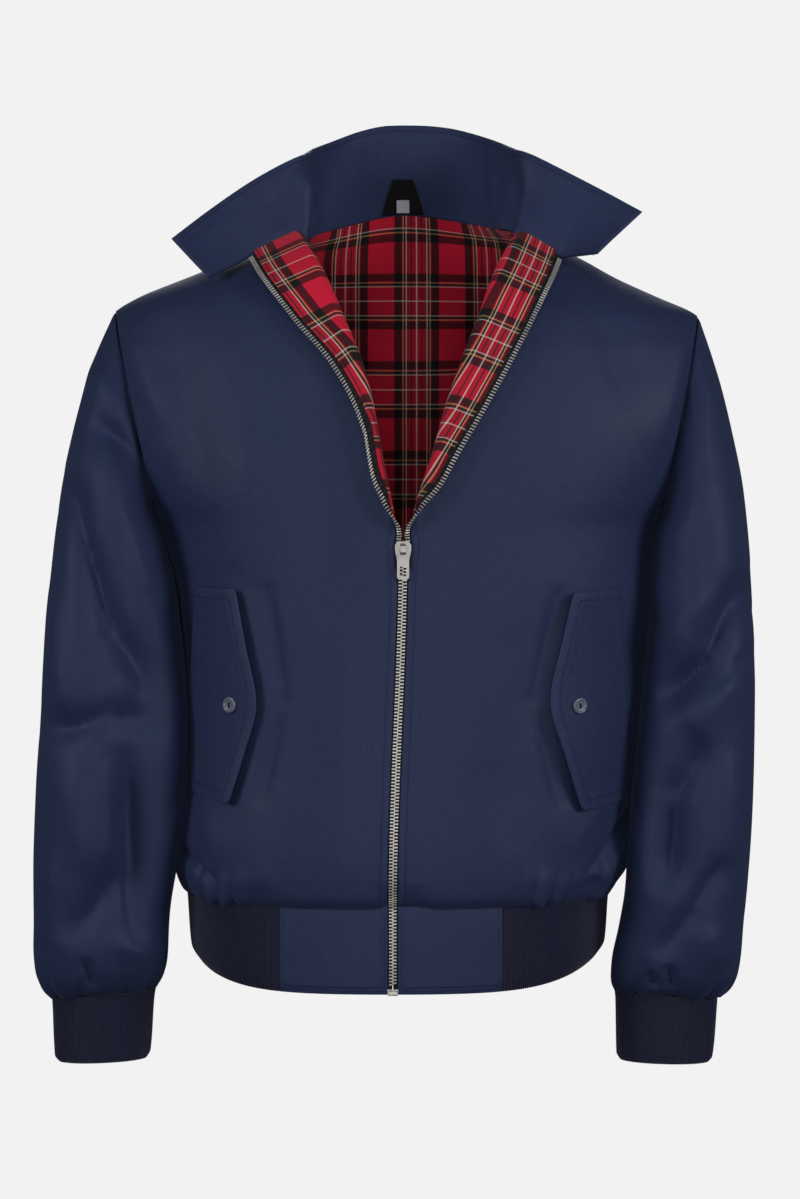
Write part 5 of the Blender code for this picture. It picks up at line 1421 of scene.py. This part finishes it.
def build_sleeve(side):
    """One sleeve with its folds and the gathers over its cuff."""
    name = side_name(side)
    table = SLEEVES[side]
    vs = rows_by((0, 0.1, 24), (0.1, 0.8, 110), (0.8, 1, 56))
    turns = around(SLEEVE_COLUMNS)
    v, turn = np.meshgrid(vs, turns, indexing="ij")
    points = tube_points(table, side, v, turn, 2.0 + 0.3 * smooth(v / 0.25))
    start = tube_points(table, side, np.zeros(len(turns)), turns, np.full(len(turns), 2.0))
    from_armhole = armhole_points(side, turns) - start
    points += from_armhole[None] * (1 - smooth(v / CAP_END))[..., None]
    middle = stack(side * (table.at(v, "ox") + table.at(v, "ix")) / 2, table.at(v, "mid"),
                   (table.at(v, "oz") + table.at(v, "iz")) / 2) * MM
    out = unit(points - middle)
    seen = points.copy()
    seen[..., 2] += np.where(np.sin(turn) > 0, 0.0, UNDER_SHIFT)
    facing = smooth(np.abs(np.sin(turn)) * 1.6)
    ends = smooth(v / 0.08) * smooth((1 + np.cos(turn)) / 0.6)
    lift = crease_lift(seen, SLEEVE_CREASES[side]) * (facing + (1 - facing) * 0.35) * ends
    puff = smooth((v - 0.80) / 0.14) * (1 - 0.6 * smooth((v - 0.95) / 0.05))
    swell = np.abs(np.sin(CUFF_GATHERS * turn / 2 + side + 0.5 * np.sin(2 * turn))) ** 0.7
    wave = swell * (0.72 + 0.28 * np.sin(2 * turn + 1))
    from_seam = lengths_up(points)
    lift += CUFF_GATHER_DEPTH * puff * wave + seam_tuck(from_seam)
    shell = points + out * lift[..., None]
    shell[..., 2] -= CUFF_SAG * (wave - 0.4) * smooth((v - 0.93) / 0.07)
    z = points[..., 2]
    inward = smooth(-np.cos(turn) * 1.8 - 0.4) * smooth((HUG_TOP_Z - z) / (20 * MM))
    inward *= smooth((z - HUG_FOOT_Z) / HUG_FADE) * (1 + 0.9 * smooth((z - HUG_MORE_Z) / HUG_FADE))
    shell[..., 0] -= side * HUG * inward
    shell = shell + np.array((side * 0.8 * MM, 0, -0.2 * MM))
    normals = grid_normals(shell, closed=True)
    if (normals * out).sum() < 0:
        normals = -normals
    normals[0], normals[-1] = out[0], out[-1]
    sleeve, _ = tube_wall("shell_sleeve_" + name, shell, shell, shell - normals * SHELL, out,
                          "shell", "sleeve_" + name,
                          {"edge": np.full(shell.shape[:2], FAR_FROM_EDGE)})
    declare("shell_sleeve_" + name, sleeve)


def build_cuff(side):
    """One rib cuff, with its ribs as round cords along it."""
    name = side_name(side)
    look = bpy.context.scene.jacket_cloth
    vs = rows_by((0, 0.15, 5), (0.15, 0.92, 12), (0.92, 1, 5))
    turns = around(CUFF_COLUMNS)
    v, turn = np.meshgrid(vs, turns, indexing="ij")
    points = tube_points(CUFFS[side], side, v, turn, 2.2)
    middle = points.mean(axis=1, keepdims=True)
    out = unit((points - middle) * np.array((1, 1, 0)))
    cuff, across = tube_wall("rib_cuff_" + name, points, points - out * RIB_BED,
                             points - out * RIB, out, "rib", "cuff_" + name)
    count = int(across[6, -1] / look.rib_pitch)
    fine = np.linspace(0, 1, 721)
    ring = tube_points(CUFFS[side], side, np.full(721, 0.5), fine * 2 * math.pi, 2.2)
    ring = running_length(ring)
    at = np.interp(np.arange(count) / count * ring[-1], ring, fine) * 2 * math.pi
    lines = []
    for turn in at:
        line = tube_points(CUFFS[side], side, vs, np.full(len(vs), turn), 2.2)
        spine = unit((line - middle[:, 0]) * np.array((1, 1, 0)))
        lines.append(line - spine * RIB_SINK)
    ribs = cords("ribs_cuff_" + name, lines, look.rib_pitch * RIB_SHARE, "rib")
    declare("rib_cuff_" + name, cuff)


def band_points(turn, v):
    side = np.where(np.sin(turn) > 0, 1, -1)
    facing = np.cos(turn)
    reach = np.where(side > 0, BAND.at(v, "left"), BAND.at(v, "right")) * MM
    depth = np.where(facing > 0, BAND.at(v, "front"), BAND.at(v, "back")) * MM - SEAM_Y
    z = BAND.at(v, "side_z") * MM
    drop = BAND.at(v, "front_z") * MM - z
    z = z + drop * np.where(facing > 0, np.sin(np.abs(facing) * math.pi / 2) ** 2,
                            BAND_BACK_SAG * facing ** 2)
    x = side * reach * np.abs(np.sin(turn)) ** (2 / ROUNDNESS) + BAND_LEAN * np.abs(facing)
    return stack(x, SEAM_Y + depth * np.abs(facing) ** (2 / ROUNDNESS), z)


def band_turn(side, distance, v):
    reach = BAND.at(v, "left" if side > 0 else "right") * MM
    return side * np.arcsin((distance / reach) ** (ROUNDNESS / 2))


def band_wall(name, start, end, columns, slot, replaces, tuck=0.0):
    """Part of the band between two turns, each an array over the rows."""
    vs = rows_by((1, 0.85, 5), (0.85, 0.12, 14), (0.12, 0, 4))
    first, last = start(vs), end(vs)
    turn = first[:, None] + (last - first)[:, None] * np.linspace(0, 1, columns)[None]
    points = band_points(turn, np.broadcast_to(vs[:, None], turn.shape))
    normals = grid_normals(points)
    across = running_length(points)
    height = up_column(points, 0)
    cloth = cloth_lengths(across, height)
    edge = np.minimum(height, np.minimum(across, across[:, -1:] - across) + 3 * MM)
    piece = wall(name, points - normals * tuck, points - normals * RIB, cloth, slot,
                 marks={"edge": edge}, replaces=replaces)
    return piece, points, normals


def build_hem():
    """The two plain tabs beside the zip and the rib round the rest."""
    look = bpy.context.scene.jacket_cloth
    gap = SEAM / 2
    for side, start, end in ((1, SHELL_REACH, TAB_HALF[1] - gap),
                             (-1, TAB_HALF[-1] - gap, SHELL_REACH)):
        name = "tab_" + side_name(side)
        tab, points, _ = band_wall(
            name, lambda v: band_turn(side, start, v), lambda v: band_turn(side, end, v),
            TAB_COLUMNS, "shell", ("hem_" + name,))
        upright = "left" if side > 0 else "right"
        sewn = sew("stitches_" + name, (frame_line(points, TOPSTITCH, "low " + upright),))
        declare(name, tab)
    rib, points, normals = band_wall(
        "rib_hem", lambda v: band_turn(1, TAB_HALF[1] + gap, v),
        lambda v: band_turn(-1, TAB_HALF[-1] + gap, v) + 2 * math.pi, HEM_COLUMNS, "rib",
        ("hem_rib",), RIB_BED)
    length = running_length(points)
    count = int(length[12, -1] / look.rib_pitch)
    lines = []
    for share in np.linspace(0.002, 0.998, count):
        line, spine = [], []
        for row, out, run in zip(points, normals, length):
            line.append(along(share * run[-1], run, row))
            spine.append(along(share * run[-1], run, out))
        lines.append(np.array(line) - unit(np.array(spine)) * RIB_SINK)
    ribs = cords("ribs_hem", lines, look.rib_pitch * RIB_SHARE, "rib")
    declare("rib_hem", rib)


def collar_line(side, share):
    """The collar's base from the centre back to the wing's lower corner, by its length."""
    back, lower = (back_grid([v], 119)[0][0] for v in (3.0, 2.97))
    if side < 0:
        back, lower = back[::-1], lower[::-1]
    back, lower = back[59:], lower[59:]
    stations = back + unit(back - lower) * 1.4 * SEAM
    end = path_u(side, 3.0, 0.0)
    us = rows_by((0, 1, 59), (1, 2, 15), (2, end, 39))[1:]
    front, lower = front_row(side, 3.0, us), front_row(side, 2.97, us)
    stations = np.concatenate((stations, front + unit(front - lower) * 1.4 * SEAM))
    foot = np.array(COLLAR_FOOT[side]) * (side, 1, 1)
    tail = lerp(stations[-1], foot, np.linspace(0, 1, 24)[1:, None])
    line = np.concatenate((stations, tail))
    length = running_length(line)
    return along(share * length[-1], length, line)


def build_collar():
    """The turned-up collar."""
    share = rows_by((0, 0.97, 124), (0.97, 1, 8))
    hs = rows_by((0, 0.93, 30), (0.93, 1, 8))
    sides = []
    for side in (-1, 1):
        base = collar_line(side, share)
        table = COLLAR_TOP[side]
        top = stack(side * table.at(share, "x"), table.at(share, "y"), table.at(share, "z")) * MM
        points = base[None] + (top - base)[None] * hs[:, None, None]
        not_wing = (1 - smooth((share - 0.5) / 0.2))[None]
        points[..., 1] += COLLAR_BULGE * np.sin(math.pi * hs)[:, None] * not_wing
        sides.append(points)
    points = np.concatenate((sides[0][:, ::-1], sides[1][:, 1:]), axis=1)
    middle = len(share) - 1
    normals = -grid_normals(points)
    fold = crease_lift(points, COLLAR_CREASES) * (1 - smooth((hs - 0.55) / 0.4))[:, None]
    face = points - normals * fold[..., None]
    face[0] -= unit(points[1] - points[0]) * 2.2 * MM
    normals = -grid_normals(face)
    across = running_length(face)
    height = lengths_up(face)
    cloth = cloth_lengths(across - across[:, middle, None], height)
    edge = np.minimum(height[-1:] - height, np.minimum(across, across[:, -1:] - across))
    outer, inner = rounded(face, face - normals * COLLAR, edge, 2.2 * MM)
    collar = wall("shell_collar", outer, inner, cloth, "shell", flip=True,
                  marks={"edge": edge}, replaces=("collar",))
    holes = []
    for share_x, share_z in BUTTONHOLES:
        spots = np.linspace(-1, 1, 9)
        row, column = share_z * (len(hs) - 1), share_x * (outer.shape[1] - 1)
        slant = spots * 4.2 * np.sign(share_x - 0.5)
        holes.append(on_grid(inner, row + spots * 1.2, column + slant))
    sewn = sew("stitches_collar", (frame_line(inner, TOPSTITCH, "left high right"),
                                   frame_line(outer, TOPSTITCH, "left high right")))
    worked = sew("collar_buttonholes", holes, 0.5 * MM, 0.5 * MM, 0.8 * MM)
    declare("shell_collar", collar)
    GRIDS["collar"] = (face, normals)


def flap_points(side, across, t):
    """A point of the body under a flap, the body's normal there and the flap's lift."""
    table = FLAPS[side]
    seam = np.stack((table.at(t, "seam_x"), table.at(t, "seam_z")), -1) * MM
    free = np.stack((table.at(t, "free_x"), table.at(t, "free_z")), -1) * MM
    spot = seam + (free - seam) * across[..., None]
    angle = angle_facing(side, spot[..., 0], spot[..., 1])
    lift = FLAP_LIFT_SEAM + (FLAP_STAND - FLAP_LIFT_SEAM) * smooth(across * 1.05)
    point = bare(side, -1, angle, spot[..., 1])
    return point, form_normal(side, -1, angle, spot[..., 1]), lift


def build_flap(side):
    """One pocket flap with its topstitching."""
    name = side_name(side)
    ts = rows_by((1, 0.975, 6), (0.975, 0.025, 70), (0.025, 0, 6))
    cs = rows_by((0, 0.06, 4), (0.06, 0.93, 26), (0.93, 1, 6))
    t, across = np.meshgrid(ts, cs, indexing="ij")
    corner = 0.045 * (np.exp(-((1 - t) / 0.010)) + np.exp(-(t / 0.010)))
    across = corner + across * (1 - 2.2 * corner)
    point, normal, lift = flap_points(side, across, t)
    lift = lift + 0.8 * MM * np.sin(t * 9 + side) * across
    outer = point + normal * (lift + FLAP)[..., None]
    inner = point + normal * lift[..., None]
    run = running_length(outer)
    height = lengths_up(outer)
    cloth = cloth_lengths(run, height)
    edge = np.minimum(run[:, -1:] - run, np.minimum(height, height[-1:] - height))
    outer, inner = rounded(outer, inner, np.minimum(edge, run), 1.8 * MM)
    flap = wall("shell_flap_" + name, outer, inner, cloth, "shell", flip=side > 0,
                marks={"edge": edge * TOPSTITCH / FLAP_STITCH}, replaces=("pocket_flap_" + name,))
    lines = [frame_line(outer, FLAP_STITCH, "high right low"),
             frame_line(outer, FLAP_SEWN, "left low")[:LINE_POINTS]]
    sewn = sew("stitches_flap_" + name, lines)
    declare("shell_flap_" + name, flap)


def build_button(side):
    """A turned button with its rim, and the thread across the places of its two holes."""
    name = "button_" + side_name(side)
    x, z = BUTTON_AT[side]
    table = FLAPS[side]
    t = np.interp(-z, -table.at(table.cells[:, 0], "seam_z") * MM, table.cells[:, 0])
    seam_x, free_x = table.at(t, "seam_x") * MM, table.at(t, "free_x") * MM
    spot = np.array([(seam_x - x) / (seam_x - free_x)])
    point, normals, lift = flap_points(side, spot, np.array([t]))
    normal = normals[0]
    middle = point[0] + normal * (lift[0] + FLAP + BUTTON_STAND)
    up = unit(np.array((0, 0, 1.0)) - normal * normal[2])
    across = np.cross(up, normal)
    turns = np.linspace(0, 2 * math.pi, BUTTON_SIDES, endpoint=False)
    vertices, faces = [], []
    for radius, height in BUTTON_PROFILE:
        for turn in turns:
            spot = middle + (across * math.cos(turn) + up * math.sin(turn)) * radius * MM
            vertices.append((spot + normal * height * MM).tolist())
    count, last = len(turns), len(BUTTON_PROFILE) - 1
    for ring in range(last):
        for k in range(count):
            a, b = ring * count + k, ring * count + (k + 1) % count
            faces.append((a, b, b + count, a + count))
    faces.append(tuple(range(count))[::-1])
    faces.append(tuple(range(last * count, (last + 1) * count)))
    button = make_piece(name + "_turned", vertices, faces, "jacket", "button", sharp=60)
    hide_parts(name)
    thread = [middle + normal * height * MM + up * place * MM for place, height in THREAD_PATH]
    lines = [np.array(thread) + across * off * MM for off in (-THREAD_OFF, THREAD_OFF)]
    cords(name + "_thread", lines, BUTTON_THREAD, "dark_thread")


def build_tape(side):
    """One zip tape and its row of teeth."""
    name = side_name(side)
    spread = np.linspace(0, 1, 7)
    shorts = (LINING_REACH + 1.0 * MM - TAPE_HALF_GAP) * (1 - spread) + TAPE_HALF_GAP
    rows = [[band_points(band_turn(side, short, v), v) for short in shorts]
            for v in (0.95, 0.85, 0.7, 0.5, 0.3, 0.15, 0.06)]
    for v in rows_by((0, 1, 90), (1, 2, 90), (2, 2.97, 40)):
        us = np.array([min(path_u(side, v, short), 2.9999) for short in shorts])
        rows.append(front_row(side, v, us))
    points = np.array(rows)
    normals = grid_normals(points) * -side
    run = running_length(points)
    cloth = cloth_lengths(run, up_column(points, -1))
    tape = wall("tape_" + name, points - normals * TAPE_DEPTH,
                points - normals * (TAPE_DEPTH + TAPE_THICK),
                cloth, "tape", flip=side > 0, replaces=("zip_tape_" + name,))
    line, out = points[:, -1] - normals[:, -1] * (TAPE_DEPTH + TAPE_THICK / 2), normals[:, -1]
    across = unit(points[:, -1] - points[:, -2])
    length = running_length(line)
    look = bpy.context.scene.jacket_zip
    pitch = look.tooth_pitch
    start = FIRST_TOOTH + (pitch / 2 if side > 0 else 0.0)
    at = np.arange(start, length[-1] - LAST_TOOTH, pitch)

    spots, ways = along(at, length, line), (along(at, length, across), along(at, length, out))
    teeth = grow("teeth_" + name, spots, [], MADE["tooth_tree"],
                 {"Tooth": MADE["tooth"], "Size": 1.0}, "metal",
                 marks={"across": unit(ways[0]), "out": unit(ways[1])})
    declare("tape_" + name, tape)


def make_tooth():
    """One zip tooth: a bevelled bar with a rounded head, its foot on the tape."""
    work = bmesh.new()
    bmesh.ops.create_cube(work, size=1.0)
    look = bpy.context.scene.jacket_zip
    for vertex in work.verts:
        x, y, z = vertex.co
        narrow = TOOTH_HEAD if x > 0 else 1.0
        vertex.co = (x * look.tooth_length - TOOTH_FOOT, y * look.tooth_width * narrow,
                     z * TOOTH_HEIGHT * narrow)
    bmesh.ops.bevel(work, geom=work.edges[:], offset=TOOTH_BEVEL, segments=1, affect="EDGES")
    mesh = bpy.data.meshes.new("tooth_item")
    work.to_mesh(mesh)
    work.free()
    MADE["tooth"] = bpy.data.objects.new("tooth_item", mesh)


def build_labels():
    """The bare label and the bare size tab inside the collar's back."""
    points, normals = GRIDS["collar"]
    middle = points.shape[1] // 2
    across = running_length(points)
    across = across - across[:, middle:middle + 1]
    hs = np.linspace(0, 1, points.shape[0])

    def at(x, h):
        return [along(h, hs, np.array([along(x, run, row) for run, row in zip(across, grid)]))
                for grid in (points, -normals)]

    def lying(name, spread, depth, slot, replaces):
        half_low, half_high, low, high = spread
        top, under, cloth = [], [], []
        for h in np.linspace(low, high, LABEL_ROWS):
            half = half_low + (half_high - half_low) * ((h - low) / (high - low))
            xs = np.linspace(-half, half, LABEL_COLUMNS)
            spots = [at(x, h) for x in xs]
            top.append([point + inward * (depth + LABEL) for point, inward in spots])
            under.append([point + inward * depth for point, inward in spots])
            cloth.append([(x, h * LABEL_MAP_HEIGHT) for x in xs])
        piece = wall(name, np.array(top), np.array(under), np.array(cloth), slot,
                     replaces=replaces)
        declare(name, piece)

    over = COLLAR + LABEL_OVER
    lying("label_cloth", NECK_LABEL, over, "label", ("neck_label",))
    lying("size_tab_cloth", SIZE_TAB, over + LABEL + TAB_OVER, "size_tab", ("size_tab",))


def dress_hard_parts():
    """Material and softened edges for the slider, the pull and the box."""
    for node, width in (("zip_slider", 0.25), ("zip_pull", 0.22), ("zip_box", 0.25)):
        piece = frame["nodes"][node]
        piece.data.materials.clear()
        piece.data.materials.append(finish_of("cast"))
        weld = piece.modifiers.new("join", "WELD")
        weld.merge_threshold = 0.01 * MM
        bevel = piece.modifiers.new("soften", "BEVEL")
        bevel.width = width * MM
        bevel.segments = 2
        bevel.limit_method = "ANGLE"
        bevel.angle_limit = math.radians(28)


# name, turn from the front and height in degrees, and share of the key light's power
LIGHTS = (("key", 52, 15, 1.0), ("side", -55, 15, 0.84), ("front", 0, -6, 0.52),
          ("top", 0, 45, 0.20), ("back", 180, 25, 0.9))
LIGHT_SIZE = 1.2
LIGHT_REACH = 3.3
TARGET = (-0.00255, 0.0, -0.3065)
FLOOR_HALF = 30.0
FLOOR_Z = -0.78
SENSOR = 36.0
CAMERA_REACH = 4.0
CAMERA_TILT = 3.5
# height of what the camera sees at the jacket
FRAME_TALL = 1199 * 0.85 * MM


def build_stage():
    """Plain pale floor, soft lights all round and the camera."""
    scene = bpy.context.scene
    look = scene.jacket_stage
    pale = rgba((look.paleness,) * 3)
    floor_mesh = bpy.data.meshes.new("floor")
    corners = [(x * FLOOR_HALF, y * FLOOR_HALF, FLOOR_Z)
               for x, y in ((-1, -1), (1, -1), (1, 1), (-1, 1))]
    floor_mesh.from_pydata(corners, [], [(0, 1, 2, 3)])
    floor = bpy.data.objects.new("floor", floor_mesh)
    scene.collection.objects.link(floor)
    paint = bpy.data.materials.new("pale_floor")
    paint.use_nodes = True
    surface = paint.node_tree.nodes["Principled BSDF"]
    surface.inputs["Base Color"].default_value = (0, 0, 0, 1)
    surface.inputs["Specular IOR Level"].default_value = 0.0
    surface.inputs["Emission Color"].default_value = pale
    surface.inputs["Emission Strength"].default_value = 1.0
    floor_mesh.materials.append(paint)
    floor.visible_diffuse = floor.visible_glossy = floor.visible_shadow = False
    floor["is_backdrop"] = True
    world = bpy.data.worlds.new("studio")
    world.use_nodes = True
    tree = world.node_tree
    ground = tree.nodes["Background"]
    seen = tree.nodes.new("ShaderNodeBackground")
    seen.inputs["Color"].default_value = pale
    ground.inputs["Color"].default_value = (1, 1, 1, 1)
    ground.inputs["Strength"].default_value = look.fill
    ray, blend = tree.nodes.new("ShaderNodeLightPath"), tree.nodes.new("ShaderNodeMixShader")
    tree.links.new(ray.outputs["Is Camera Ray"], blend.inputs[0])
    tree.links.new(ground.outputs[0], blend.inputs[1])
    tree.links.new(seen.outputs[0], blend.inputs[2])
    tree.links.new(blend.outputs[0], tree.nodes["World Output"].inputs[0])
    scene.world = world
    target = Vector(TARGET)
    for name, turn, height, share in LIGHTS:
        light = bpy.data.lights.new(name, "AREA")
        light.shape, light.size, light.energy = "DISK", LIGHT_SIZE, look.key * share
        lamp = bpy.data.objects.new(name, light)
        scene.collection.objects.link(lamp)
        turn, height = math.radians(turn), math.radians(height)
        toward = Vector((math.sin(turn) * math.cos(height), -math.cos(turn) * math.cos(height),
                         math.sin(height)))
        lamp.location = target + toward * LIGHT_REACH
        lamp.rotation_euler = toward.to_track_quat("Z", "Y").to_euler()
    data = bpy.data.cameras.new("camera")
    data.sensor_fit = "AUTO"
    data.sensor_width = SENSOR
    data.lens = SENSOR * CAMERA_REACH / FRAME_TALL
    camera = bpy.data.objects.new("camera", data)
    scene.collection.objects.link(camera)
    tilt = math.radians(CAMERA_TILT)
    camera.location = target + Vector((0, -math.cos(tilt), math.sin(tilt))) * CAMERA_REACH
    camera.rotation_euler = (target - camera.location).to_track_quat("-Z", "Y").to_euler()
    scene.camera = camera
    scene.view_settings.view_transform = "Standard"


# ---------------------------------------------------------------- settings, operators, panel
class ClothSettings(bpy.types.PropertyGroup):
    """Colours and weave of the jacket's cloth."""

    shell_colour: bpy.props.FloatVectorProperty(
        name="Shell colour", description="Colour of the outer cloth", subtype="COLOR",
        size=3, min=0, max=1, default=(0.0225, 0.033, 0.087))
    rib_colour: bpy.props.FloatVectorProperty(
        name="Rib colour", description="Colour of the rib knit", subtype="COLOR",
        size=3, min=0, max=1, default=(0.016, 0.018, 0.052))
    sheen: bpy.props.FloatProperty(
        name="Sheen", description="Soft light that the shell's nap gives back",
        subtype="FACTOR", min=0, max=1, default=0.10)
    weave_pitch: bpy.props.FloatProperty(
        name="Weave pitch", description="Distance between two ribs of the twill",
        unit="LENGTH", min=0.0002, max=0.005, precision=5, default=0.7 * MM)
    rib_pitch: bpy.props.FloatProperty(
        name="Rib pitch", description="Distance between two ribs of the knit",
        unit="LENGTH", min=0.001, max=0.01, precision=4, default=2.1 * MM)
    knit_pitch: bpy.props.FloatProperty(
        name="Knit pitch", description="Height of one stitch of the knit",
        unit="LENGTH", min=0.0005, max=0.01, precision=4, default=1.3 * MM)


class ZipSettings(bpy.types.PropertyGroup):
    """Sizes of the zip's teeth."""

    tooth_pitch: bpy.props.FloatProperty(
        name="Tooth pitch", description="Distance between two teeth of one side",
        unit="LENGTH", min=0.001, max=0.01, precision=5, default=2.75 * MM)
    tooth_length: bpy.props.FloatProperty(
        name="Tooth length", description="Length of a tooth across the chain",
        unit="LENGTH", min=0.001, max=0.01, precision=5, default=4.0 * MM)
    tooth_width: bpy.props.FloatProperty(
        name="Tooth width", description="Width of a tooth along the chain",
        unit="LENGTH", min=0.0005, max=0.01, precision=5, default=1.35 * MM)


class StageSettings(bpy.types.PropertyGroup):
    """Floor and light."""

    paleness: bpy.props.FloatProperty(
        name="Paleness", description="Brightness of the floor and of what lies behind",
        subtype="FACTOR", min=0, max=1, default=0.888)
    fill: bpy.props.FloatProperty(
        name="Fill", description="Light from all round", min=0, max=5, default=0.036)
    key: bpy.props.FloatProperty(
        name="Key", description="Power of the main soft light", unit="POWER",
        min=0, max=1000, default=31.0)


class PrepareOperator(bpy.types.Operator):
    """Makes the trees and items that the other steps share"""

    bl_idname = "jacket.prepare"
    bl_label = "Shared items"

    def execute(self, context):
        MADE["stitch_tree"] = stitch_tree()
        MADE["cord_tree"] = cord_tree()
        MADE["tooth_tree"] = tooth_tree()
        make_tooth()
        return {"FINISHED"}


class FrontsOperator(bpy.types.Operator):
    """Builds the two fronts with their lining"""

    bl_idname = "jacket.fronts"
    bl_label = "Fronts"

    def execute(self, context):
        for side in SIDES.values():
            build_front(side)
        return {"FINISHED"}


class BackOperator(bpy.types.Operator):
    """Builds the back with its lining"""

    bl_idname = "jacket.back"
    bl_label = "Back"

    def execute(self, context):
        build_back()
        return {"FINISHED"}


class SleevesOperator(bpy.types.Operator):
    """Builds the sleeves and their cuffs"""

    bl_idname = "jacket.sleeves"
    bl_label = "Sleeves and cuffs"

    def execute(self, context):
        for side in SIDES.values():
            build_sleeve(side)
            build_cuff(side)
        return {"FINISHED"}


class HemOperator(bpy.types.Operator):
    """Builds the hem band with its tabs and its rib"""

    bl_idname = "jacket.hem"
    bl_label = "Hem band"

    def execute(self, context):
        build_hem()
        return {"FINISHED"}


class CollarOperator(bpy.types.Operator):
    """Builds the collar, the label and the size tab"""

    bl_idname = "jacket.collar"
    bl_label = "Collar and labels"

    def execute(self, context):
        build_collar()
        build_labels()
        return {"FINISHED"}


class FlapsOperator(bpy.types.Operator):
    """Builds the pocket flaps"""

    bl_idname = "jacket.flaps"
    bl_label = "Pocket flaps"

    def execute(self, context):
        for side in SIDES.values():
            build_flap(side)
        return {"FINISHED"}


class ZipOperator(bpy.types.Operator):
    """Builds the zip's tapes and teeth and finishes its hard parts"""

    bl_idname = "jacket.zip"
    bl_label = "Zip and buttons"

    def execute(self, context):
        for side in SIDES.values():
            build_tape(side)
            build_button(side)
        dress_hard_parts()
        return {"FINISHED"}


class StageOperator(bpy.types.Operator):
    """Builds the floor, the light and the camera"""

    bl_idname = "jacket.stage"
    bl_label = "Stage"

    def execute(self, context):
        build_stage()
        return {"FINISHED"}


STEPS = (PrepareOperator, FrontsOperator, BackOperator, SleevesOperator, HemOperator,
         CollarOperator, FlapsOperator, ZipOperator, StageOperator)


class JacketPanel(bpy.types.Panel):
    """Lists the steps and the settings in the sidebar"""

    bl_idname = "VIEW3D_PT_jacket"
    bl_label = "Harrington jacket"
    bl_space_type = "VIEW_3D"
    bl_region_type = "UI"
    bl_category = "Jacket"

    def draw(self, context):
        for group in ("jacket_cloth", "jacket_zip", "jacket_stage"):
            settings = getattr(context.scene, group)
            box = self.layout.box()
            for key in type(settings).__annotations__:
                box.prop(settings, key)
        for step in STEPS:
            self.layout.operator(step.bl_idname)


CLASSES = (ClothSettings, ZipSettings, StageSettings, *STEPS, JacketPanel)


def register():
    for made in CLASSES:
        bpy.utils.register_class(made)
    bpy.types.Scene.jacket_cloth = bpy.props.PointerProperty(type=ClothSettings)
    bpy.types.Scene.jacket_zip = bpy.props.PointerProperty(type=ZipSettings)
    bpy.types.Scene.jacket_stage = bpy.props.PointerProperty(type=StageSettings)


def unregister():
    for key in ("jacket_cloth", "jacket_zip", "jacket_stage"):
        delattr(bpy.types.Scene, key)
    for made in reversed(CLASSES):
        bpy.utils.unregister_class(made)


def main():
    register()
    for step in STEPS:
        group, name = step.bl_idname.split(".")
        getattr(getattr(bpy.ops, group), name)()
    boxes = {"cad": CAD_BOX, "visual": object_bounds()}
    {key: [list(c) for c in box] for key, box in boxes.items()}


if __name__ == "__main__":
    main()
